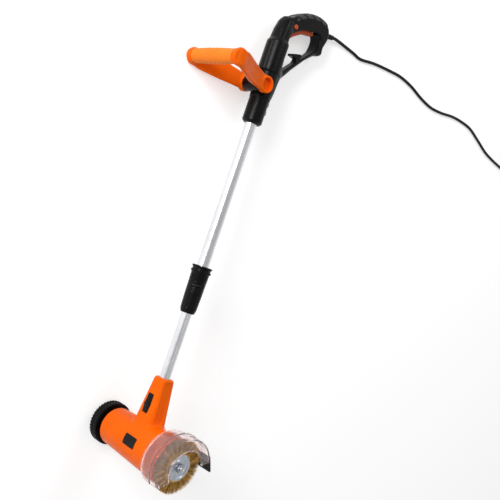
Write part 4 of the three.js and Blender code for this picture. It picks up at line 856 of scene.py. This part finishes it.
moulded("tyre", tyre_shape, (-123, -46, -46), (-98, 46, 46), 0.9,
        ("guide_wheel", "wheel_tyre", "tyre_rubber"))

WHEEL_SECTION = [
    (4.3, -116), (10, -116), (10, -112), (33.7, -112), (33.7, -120.6), (36.7, -120.6), (36.7, -100.8),
    (33.7, -100.8), (33.7, -108), (10, -108), (10, -95.2), (4.3, -95.2)]
SPOKES = 6


def wheel_shape(x, y, z):
    radius = np.hypot(y, z)
    turned = outline_distance(radius, x, WHEEL_SECTION)
    aside = from_nearest(np.arctan2(y, z), SPOKES, radius)
    rib = np.maximum.reduce([aside - 1.3, 5 - radius, radius - 35.5, -118.2 - x, x + 103.5])
    return np.maximum(round_or(turned, rib, 1.4), 4.3 - radius)


moulded("wheel_disc", wheel_shape, (-122, -38, -38), (-94, 38, 38), 1.0,
        ("guide_wheel", "guide_wheel", "black_plastic"))
lathe("axle_bolt", [
    (0, -119.3), (3.2, -119.3), (7.4, -118.4), (8, -117.4), (8, -116.3), (4, -116.3), (4, -88), (0, -88)],
    count=48, radius=0.6, part=("head", "wheel_axle", "steel"))

# Pole
FLUTE_DEPTH, TUBE_BEVEL = 0.75, 0.35


def tube_piece(name, outer, inner, low, high, flutes, body, node):
    """A tube with shallow flutes, each given by its angle and half its width in degrees."""
    points, faces = spun([
        (outer - TUBE_BEVEL, low), (outer, low + TUBE_BEVEL), (outer, high - TUBE_BEVEL),
        (outer - TUBE_BEVEL, high), (inner, high), (inner, high - TUBE_BEVEL), (inner, low + TUBE_BEVEL),
        (inner, low)], "y", 120, closed=True)
    turn = np.degrees(np.arctan2(points[:, 0], points[:, 2]))
    reach = np.hypot(points[:, 0], points[:, 2])
    for at, half in flutes:
        depth = FLUTE_DEPTH * hump((turn - at + 180) % 360 - 180, half / 2, half) * (reach > inner + 0.1)
        points[:, ::2] *= (1 - depth / reach)[:, None]
    mesh_piece(name, points, faces, (body, node, "tube_aluminium"))


tube_piece("pole_lower", 11.0, 9.4, 57, 560, [(62, 9), (242, 9)], "head", "lower_tube")
tube_piece("pole_upper", 12.4, 11.4, 292, 716, [], "pole_and_handle", "upper_tube")

collar = lathe("clamp_collar", [
    (12.7, 326), (17.8, 326), (18.05, 331.5), (17.5, 332), (17.5, 333), (18.1, 333.5), (18.4, 349.5),
    (19.2, 351), (20.6, 351), (20.6, 354.4), (20.2, 355.4), (18.6, 356), (18.6, 358.6), (19.4, 360),
    (20.6, 360.8), (20.6, 364), (16.2, 364.5), (15.6, 361.5), (12.7, 361.5)],
    "y", 96, closed=True, radius=0.35, steps=2)
notches = []
for k in range(12):
    turn = radians(30 * k + 15)
    place = (21.2 * sin(turn), 0, 21.2 * cos(turn))
    notches.append(rod("notch", 1.5, 350, 366, "y", 16, offset=place))
notches.append(lathe("dot", [(0, 16.5), (1.3, 16.5), (1.7, 18.9), (0, 18.9)], "z", 24, offset=(0, 343, 0)))
carve(collar, notches)
settle(collar, "pole_and_handle", "clamp_body", "black_plastic")


NUT_SCALLOPS = 12


def nut_shape(x, y, z):
    radius = np.hypot(x, z)
    section = outline_distance(radius, y, [
        (-9, 268), (13.4, 268), (14.2, 269), (16.4, 276), (17.2, 300), (17.8, 316), (17.8, 325.6),
        (-9, 325.6)])
    aside = from_nearest(np.arctan2(x, z), NUT_SCALLOPS, 17)
    scallop = 0.55 * hump(aside, 0.6, 2.2) * step(y, 276, 281) * (1 - step(y, 304, 309))
    lines = sum(0.5 * hump(y - at, 0.35, 0.9) for at in (312.5, 316.5, 320.5))
    outer = round_and(section + scallop + lines, 268 - y, 0.5)
    return np.maximum(outer, np.where(y < 290, 11.3, 12.7) - radius)


moulded("clamp_twist_nut", nut_shape, (-19, 266, -19), (19, 328, 19), 0.8,
        ("clamp_nut", "clamp_nut", "black_plastic"))

# Rear handle. Its outlines are of (z, y) places, and the barrel's of (radius, y) places
PANEL = [
    (6, 884), (-8, 896), (-20, 906), (-41, 920), (-70, 930), (-92, 932), (-108, 928.5), (-118, 919),
    (-121.5, 905), (-119, 892), (-115.5, 879), (-120, 868), (-113, 861.5), (-102, 858), (-31, 772),
    (-23, 752), (-16, 728), (6, 728)]
OPENING = [
    (-12.5, 834), (-10.5, 846), (-14, 858.5), (-33, 876.5), (-55, 889), (-78, 896), (-91, 897),
    (-97, 891), (-98, 878), (-94, 865), (-80, 848), (-50, 815), (-34, 797), (-22, 786), (-14, 793)]
CAVITY = [
    (2, 866), (-4, 880), (-22, 897), (-43, 910.5), (-70, 920.5), (-92, 922.5), (-104, 919),
    (-111, 911), (-110, 900), (-84, 903), (-56, 897), (-34, 886), (-16, 868)]
SLOT = [(-17, 838), (4, 838), (4, 862), (-9, 884), (-31, 898), (-54, 907), (-90, 909), (-90, 888), (-55, 886)]
TRIGGER = [
    (-16.5, 842), (-19.5, 854), (-37, 870), (-56, 882.5), (-82, 890.5), (-87, 895), (-86, 903.5),
    (-54, 898), (-32, 886.5), (-13, 869), (-6, 851), (-6.5, 842)]
HOOK = [
    (-55, 814), (-57.5, 829), (-41, 829), (-40, 832.5), (-54, 838.5), (-66, 843), (-69.5, 839.5),
    (-66.5, 833), (-74, 832)]
PAD = [
    (-12, 899.4), (-20, 905.5), (-41, 919.6), (-70, 929.7), (-92, 931.6), (-106, 929),
    (-105, 925.6), (-92, 927.8), (-71, 925.9), (-43, 916.2), (-23, 903)]
BARREL = [
    (-12, 663), (15.5, 663), (20.5, 668), (20.5, 716), (21.5, 716.6), (21.5, 769), (23.6, 775), (23.6, 834),
    (18.8, 841), (17.8, 862), (13.8, 879), (6.9, 889.5), (-12, 893)]
PANEL_CURVE, OPENING_CURVE, PAD_CURVE = curved(PANEL, 3), curved(OPENING, 3), curved(PAD, 3)
TRIGGER_CURVE = curved(TRIGGER, 2)
PIVOT_Y, PIVOT_Z = 738.0, 24.0
PIVOT, LOCK = (0, PIVOT_Y, PIVOT_Z), (0, 879, -18)


def handle_shape(x, y, z):
    radius = np.hypot(x, z)
    barrel = round_and(outline_distance(radius, y, BARREL), 663 - y, 1.5)
    spine = 1.2 * hump(x, 5.5, 7.5) * step(z, 4, 9) * step(y, 768, 774) * (1 - step(y, 829, 835))
    ledge = 0.9 * hump(y - 772, 1.2, 2.4) * step(z, 0, 10)
    heel = 3.2 * step(-z, 6, 13) * sum(hump(y - at, 2.5, 7) for at in (693, 711, 728))
    barrel = barrel - spine - ledge - heel * hump(x, 8, 16)
    slim = 6.0 * (1 - step(y + 0.35 * z, 812, 842)) * step(-z, 16, 32)
    panel = round_and(outline_distance(z, y, PANEL_CURVE), np.abs(x) - 15.5 + slim, 6.0)
    whole = round_or(barrel, panel, 7.0)
    whole = round_cut(whole, outline_distance(z, y, OPENING_CURVE) - 1.2, 3.0)
    line = segment_distance(z, y, (-36, 787), (-101, 862))
    whole = whole + 0.9 * hump(line, 0.8, 2.0) * step(np.abs(x), 7, 9)
    hook = round_and(outline_distance(z, y, HOOK), np.abs(x) - 7, 1.4)
    return round_or(whole, hook, 2.0)


def on_sleeve(points):
    """Places with z along the cord's exit, from the sleeve's root, as places in the row frame."""
    across, up = np.array([1.0, 0, 0]), np.cross(SLEEVE_AXIS, [1.0, 0, 0])
    points = np.asarray(points, float)
    return lay(SLEEVE_ROOT + points[:, :1] * across + points[:, 1:2] * up + points[:, 2:] * SLEEVE_AXIS)


def handle_tools():
    return [
        prism("pad_bed", [
            (-11.6, 899.3), (-20, 906.1), (-41, 922), (-70, 935), (-92, 936), (-106.6, 931), (-105.4, 925.1),
            (-92, 927.4), (-71, 925.5), (-43.1, 915.9), (-23.2, 902.6)], -9.3, 9.3),
        lathe("barrel_hollow", [
            (0, 772), (20.6, 772), (20.6, 831), (15.8, 838), (14.8, 862), (10.8, 876), (0, 879)], "y", 48),
        prism("cavity", CAVITY, -12, 12),
        prism("trigger_slot", SLOT, -7.4, 7.4),
        rod("pole_seat", 12.7, 650, 716.3, "y", 64),
        rod("lead_way", 2.9, 712, 775, "y", 24, offset=(0, 0, -4)),
        rod("pivot_seat", 15.8, -40, 40, "x", 96, offset=PIVOT),
        rod("lock_bore", 5.3, 0, 22, "x", 48, offset=LOCK),
        lathe("sleeve_seat", [(0, -8.8), (7.9, -8.8), (7.9, -5.2), (6.6, -5.2), (6.5, 6), (0, 6)], "z", 48,
              place=on_sleeve),
        rod("cord_way", 3.8, -20, 6, "z", place=on_sleeve),
    ]


shells("handle", handle_shape, (-27, 660, -125), (27, 937, 29), 1.25, handle_tools(), [
    ("handle_left", "handle_left_shell", (-60, SEAM, 600, 1000, -200, 90)),
    ("handle_right", "handle_right_shell", (-SEAM, 60, 600, 1000, -200, 90))],
    "pole_and_handle", "black_plastic")


# Slanted slots of the pad: where each crosses the rim, as (z, y), and the direction across it
PAD_MARKS = [
    (-12, 899.4, -0.75, 0.66), (-29, 912, -0.83, 0.56), (-50, 922.8, -0.92, 0.4), (-72, 930.1, -0.98, 0.18),
    (-94, 931.6, -1.0, 0.0)]


def pad_shape(x, y, z):
    body = round_and(outline_distance(z, y, PAD_CURVE), np.abs(x) - 9, 1.2)
    rim = outline_distance(z, y, PANEL_CURVE)
    limits = np.maximum.reduce([z + 15, -106 - z, -9.5 - rim, 886 - y])
    body = np.minimum(body, round_and(np.abs(handle_shape(x, y, z)) - 1.0, limits, 0.8))
    for at_z, at_y, run_z, run_y in PAD_MARKS:
        off = (z - at_z) * run_z + (y - at_y) * run_y + 1.1 * rim
        body = body + 3.2 * hump(off, 1.3, 2.3)
    return body


# The pad's soft_black colour carries a painted highlight of its lit top rim
moulded("soft_pad", pad_shape, (-19, 884, -109), (19, 937, -8), 0.8,
        ("pole_and_handle", "grip_pad", "soft_black"))


def trigger_shape(x, y, z):
    return round_and(outline_distance(z, y, TRIGGER_CURVE) + 0.15, np.abs(x) - 7, 2.6)


moulded("trigger_lever", trigger_shape, (-9, 839, -80), (9, 906, -3), 0.9,
        ("trigger", "trigger", "trigger_orange"))
lathe("lock_off_cap", [
    (0, 9.5), (5.9, 9.5), (5.9, 11.3), (5, 11.3), (5, 16.2, 1.2), (3.8, 17.4, 0.8), (2.2, 17.1, 0.6),
    (0, 16.9)], count=48, offset=LOCK, radius=0.2,
    part=("lock_off", "lock_off_button", "trigger_orange"))

ribs = [(3.8, -8.5), (7.6, -8.5), (7.6, -5.5), (6.3, -5.5), (6.3, 1.5)]
for k in range(6):
    at, wide = 2.5 + 4.7 * k, 6.25 - 0.21 * k
    ribs += [(wide, at), (wide - 0.1, at + 2.9), (wide - 1.2, at + 3.2), (wide - 1.25, at + 4.4)]
ribs += [(5.0, SLEEVE_LENGTH - 1.3), (4.9, SLEEVE_LENGTH), (3.8, SLEEVE_LENGTH)]
lathe("strain_relief", ribs, "z", 48, closed=True, radius=0.3, steps=2, place=on_sleeve,
      part=("pole_and_handle", "cord_sleeve", "black_rubber"))

# Front handle
lathe("pivot_barrel", [
    (0, -26), (9, -26), (9, -21.5), (15.5, -21.5), (15.5, 21.5), (9, 21.5), (9, 26), (0, 26)],
    count=80, offset=PIVOT, radius=0.8,
    part=("pole_and_handle", "front_handle_pivot", "black_plastic"))

# ARM is the arm's middle line as (side, z) places. The other two are each a row of heights z and a row
# of what the arm has there: half its width, and the side of its middle line.
GRIP_Y, GRIP_Z, GRIP_HALF = 740.0, 141.0, 54.7
ARM = smooth_route([(27, 24), (31.5, 48), (41, 78), (56, 110), (62.5, 126), (64, 141)], 4)
ARM_HALVES = [24, 45, 80, 118, 141], [14.5, 15.8, 18.2, 17.8, 14.8]
ARM_SIDES = [24, 48, 78, 108, 141], [27, 31.5, 41, 55, 64]


def bow_shape(x, y, z):
    side = np.abs(x)
    arm = np.full(len(x), 1e9)
    for a, b in zip(ARM, ARM[1:]):
        arm = np.minimum(arm, segment_distance(side, z, a, b))
    middle = np.interp(z, [PIVOT_Z, GRIP_Z], [PIVOT_Y, GRIP_Y])
    wide = np.interp(z, *ARM_HALVES)
    inset = box_distance(z - 84, y - middle, 36, 11.5, 5.0)
    arm = arm + 0.7 * (1 - step(inset, -1.0, 0.4)) * step(side - np.interp(z, *ARM_SIDES), 0, 3)
    arm = round_and(arm - 4.0, np.abs(y - middle) - wide, 2.6)
    hub = np.hypot(y - PIVOT_Y, z - PIVOT_Z)
    cup = round_and(hub - 16.4, np.maximum(side - 34.6, 21.8 - side), 1.2)
    end = np.hypot(y - GRIP_Y, z - GRIP_Z)
    knob = round_and(end - 14.8, np.maximum(side - 68, 55 - side), 2.4)
    bar = np.maximum(end - 9, side - 60)
    whole = np.minimum(round_or(round_or(arm, cup, 4.0), knob, 6.0), bar)
    whole = round_cut(whole, np.maximum(hub - 12.6, 27.5 - side), 0.8)
    return np.maximum(whole, -np.maximum(hub - 16.9, side - 21.8))


bow = moulded("bow", bow_shape, (-71, 719, 5), (71, 762, 161), 1.15)
carve(bow, [
    rod("stub_bore", 9.3, s * 15, s * 26.3, count=64, offset=PIVOT) for s in (-1, 1)])
settle(bow, "front_handle", "front_handle", "orange_plastic")

# The grip has GRIP_SCALLOPS valleys between low bellies, which fade out at its ends
GRIP_SCALLOPS, GRIP_PARTS = 10, 219
grip = [(9.3, -GRIP_HALF)]
for k in range(GRIP_PARTS + 1):
    share = k / GRIP_PARTS
    x = GRIP_HALF * (2 * share - 1)
    belly = 13.6 + 1.45 * (1 - (abs(x) / GRIP_HALF) ** 2.4)
    valley = abs(cos(pi * GRIP_SCALLOPS * share)) ** 3
    grip.append((belly - 1.15 * step(GRIP_HALF - abs(x), 4.0, 7.0) * valley, x))
grip.append((9.3, GRIP_HALF))
lathe("front_sleeve_grip", grip, offset=(0, GRIP_Y, GRIP_Z), closed=True, crease=50,
      part=("front_handle", "front_grip", "grip_orange"))

# Plug
PLUG_X, PLUG_LENGTH, PIN_SIDE = COIL_X + PLUG_RUN, 40, 9.3
PLUG_STATIONS = [0, 14, 23, PLUG_LENGTH]


def plug_shape(x, y, z):
    x, y, z = x - PLUG_X, y - COIL_Y, z - PLUG_LEVEL
    half = np.interp(x, PLUG_STATIONS, [5.7, 6.6, 16.4, 13.4])
    thick = np.interp(x, PLUG_STATIONS, [5.5, 5.7, 6.8, 6.8])
    section = box_distance(y, z, half, thick, np.minimum(thick, half) * 0.86)
    body = round_and(section, np.maximum(x - PLUG_LENGTH, -x), 1.5)
    neck = sum(0.7 * hump(x - at, 0.7, 1.4) for at in (3, 6.2, 9.4))
    side = sum(0.55 * hump(x - at, 0.5, 1.1) for at in (24.5, 27.5, 30.5, 33.5))
    return body + neck + side * step(np.abs(y), 9, 12)


plug = moulded("plug_body", plug_shape, (PLUG_X - 2, COIL_Y - 19, -1), (PLUG_X + 42, COIL_Y + 19, 16), 0.75,
               ("pole_and_handle", "mains_plug", "black_rubber"), on_floor)
pin_pieces = [
    lathe(f"plug_contact_{number}", [(0, -6), (2.2, -6), (2.2, 17.4, 1.0), (1.2, 19), (0, 19)], count=32,
          offset=(PLUG_X + PLUG_LENGTH, COIL_Y + side, PLUG_LEVEL), radius=0.3, place=on_floor,
          part=("pole_and_handle", f"plug_pin_{number}", "brass"))
    for number, side in ((1, -PIN_SIDE), (2, PIN_SIDE))]

# CAD nodes that stay
for row in frame["record"]["subparts"]:
    node = frame["nodes"][row["node"]]
    if not node.hide_render:
        paint(node, row["material_slot"])
paint(flex, "black_rubber")

# Floor, world and lights
floor_mesh = bpy.data.meshes.new("floor")
floor_mesh.from_pydata([(-8, -8, 0), (8, -8, 0), (8, 8, 0), (-8, 8, 0)], [], [(0, 1, 2, 3)])
floor = linked("floor", floor_mesh)

FLOOR_WHITE, FLOOR_LIFT = 0.8, 0.5
WHITE = (1, 1, 1, 1)


def ray_kind(tree, kind):
    return computed(tree, "ShaderNodeLightPath", kind)


def seen_rays(tree):
    """1 for rays from the camera and those seen in metal and glass."""
    seen = combined(tree, "MAXIMUM", ray_kind(tree, "Is Camera Ray"), ray_kind(tree, "Is Glossy Ray"))
    return combined(tree, "MAXIMUM", seen, ray_kind(tree, "Is Transmission Ray"))


floor_material, tree, inputs = blank_material("floor")
feed(tree, inputs, {
    "Base Color": (FLOOR_WHITE, FLOOR_WHITE, FLOOR_WHITE, 1), "Roughness": 0.9, "Specular IOR Level": 0.1,
    "Emission Color": WHITE, "Emission Strength": combined(tree, "MULTIPLY", seen_rays(tree), FLOOR_LIFT)})
floor_mesh.materials.append(floor_material)

world = bpy.data.worlds.new("studio")
bpy.context.scene.world = world
world.use_nodes = True
tree = world.node_tree

# The studio is white all round for the camera and darker overhead for the light that it sheds
place = computed(tree, "ShaderNodeTexCoord", "Generated")
height = computed(tree, "ShaderNodeSeparateXYZ", "Z", {"Vector": place})
seen = seen_rays(tree)
unseen = ranged(tree, seen, 0, 1, 1.0, 0.0)
shed = combined(tree, "MULTIPLY", ranged(tree, height, 0.1, 0.8, 0.85, 0.22), unseen)
mirrored = combined(tree, "MULTIPLY", ranged(tree, height, 0.15, 0.85, 1.0, 0.5), seen)
light = combined(tree, "MAXIMUM", shed, mirrored)
feed(tree, tree.nodes["Background"].inputs, {
    "Color": WHITE, "Strength": combined(tree, "MAXIMUM", light, ray_kind(tree, "Is Camera Ray"))})


def lamp(name, place, aim, size, power):
    data = bpy.data.lights.new(name, "AREA")
    data.shape = "RECTANGLE"
    data.size, data.size_y = size
    data.energy = power
    made = linked(name, data)
    made.location = place
    made.rotation_mode = "QUATERNION"
    made.rotation_quaternion = (Vector(aim) - Vector(place)).to_track_quat("-Z", "Y")


lamp("key", (-2.3, 0.95, 1.35), (0, 0, 0.1), (1.3, 1.0), 50)
lamp("fill", (0.6, 1.9, 1.9), (0, 0.1, 0.1), (1.0, 1.0), 12)
bpy.context.scene.view_settings.view_transform = "Standard"
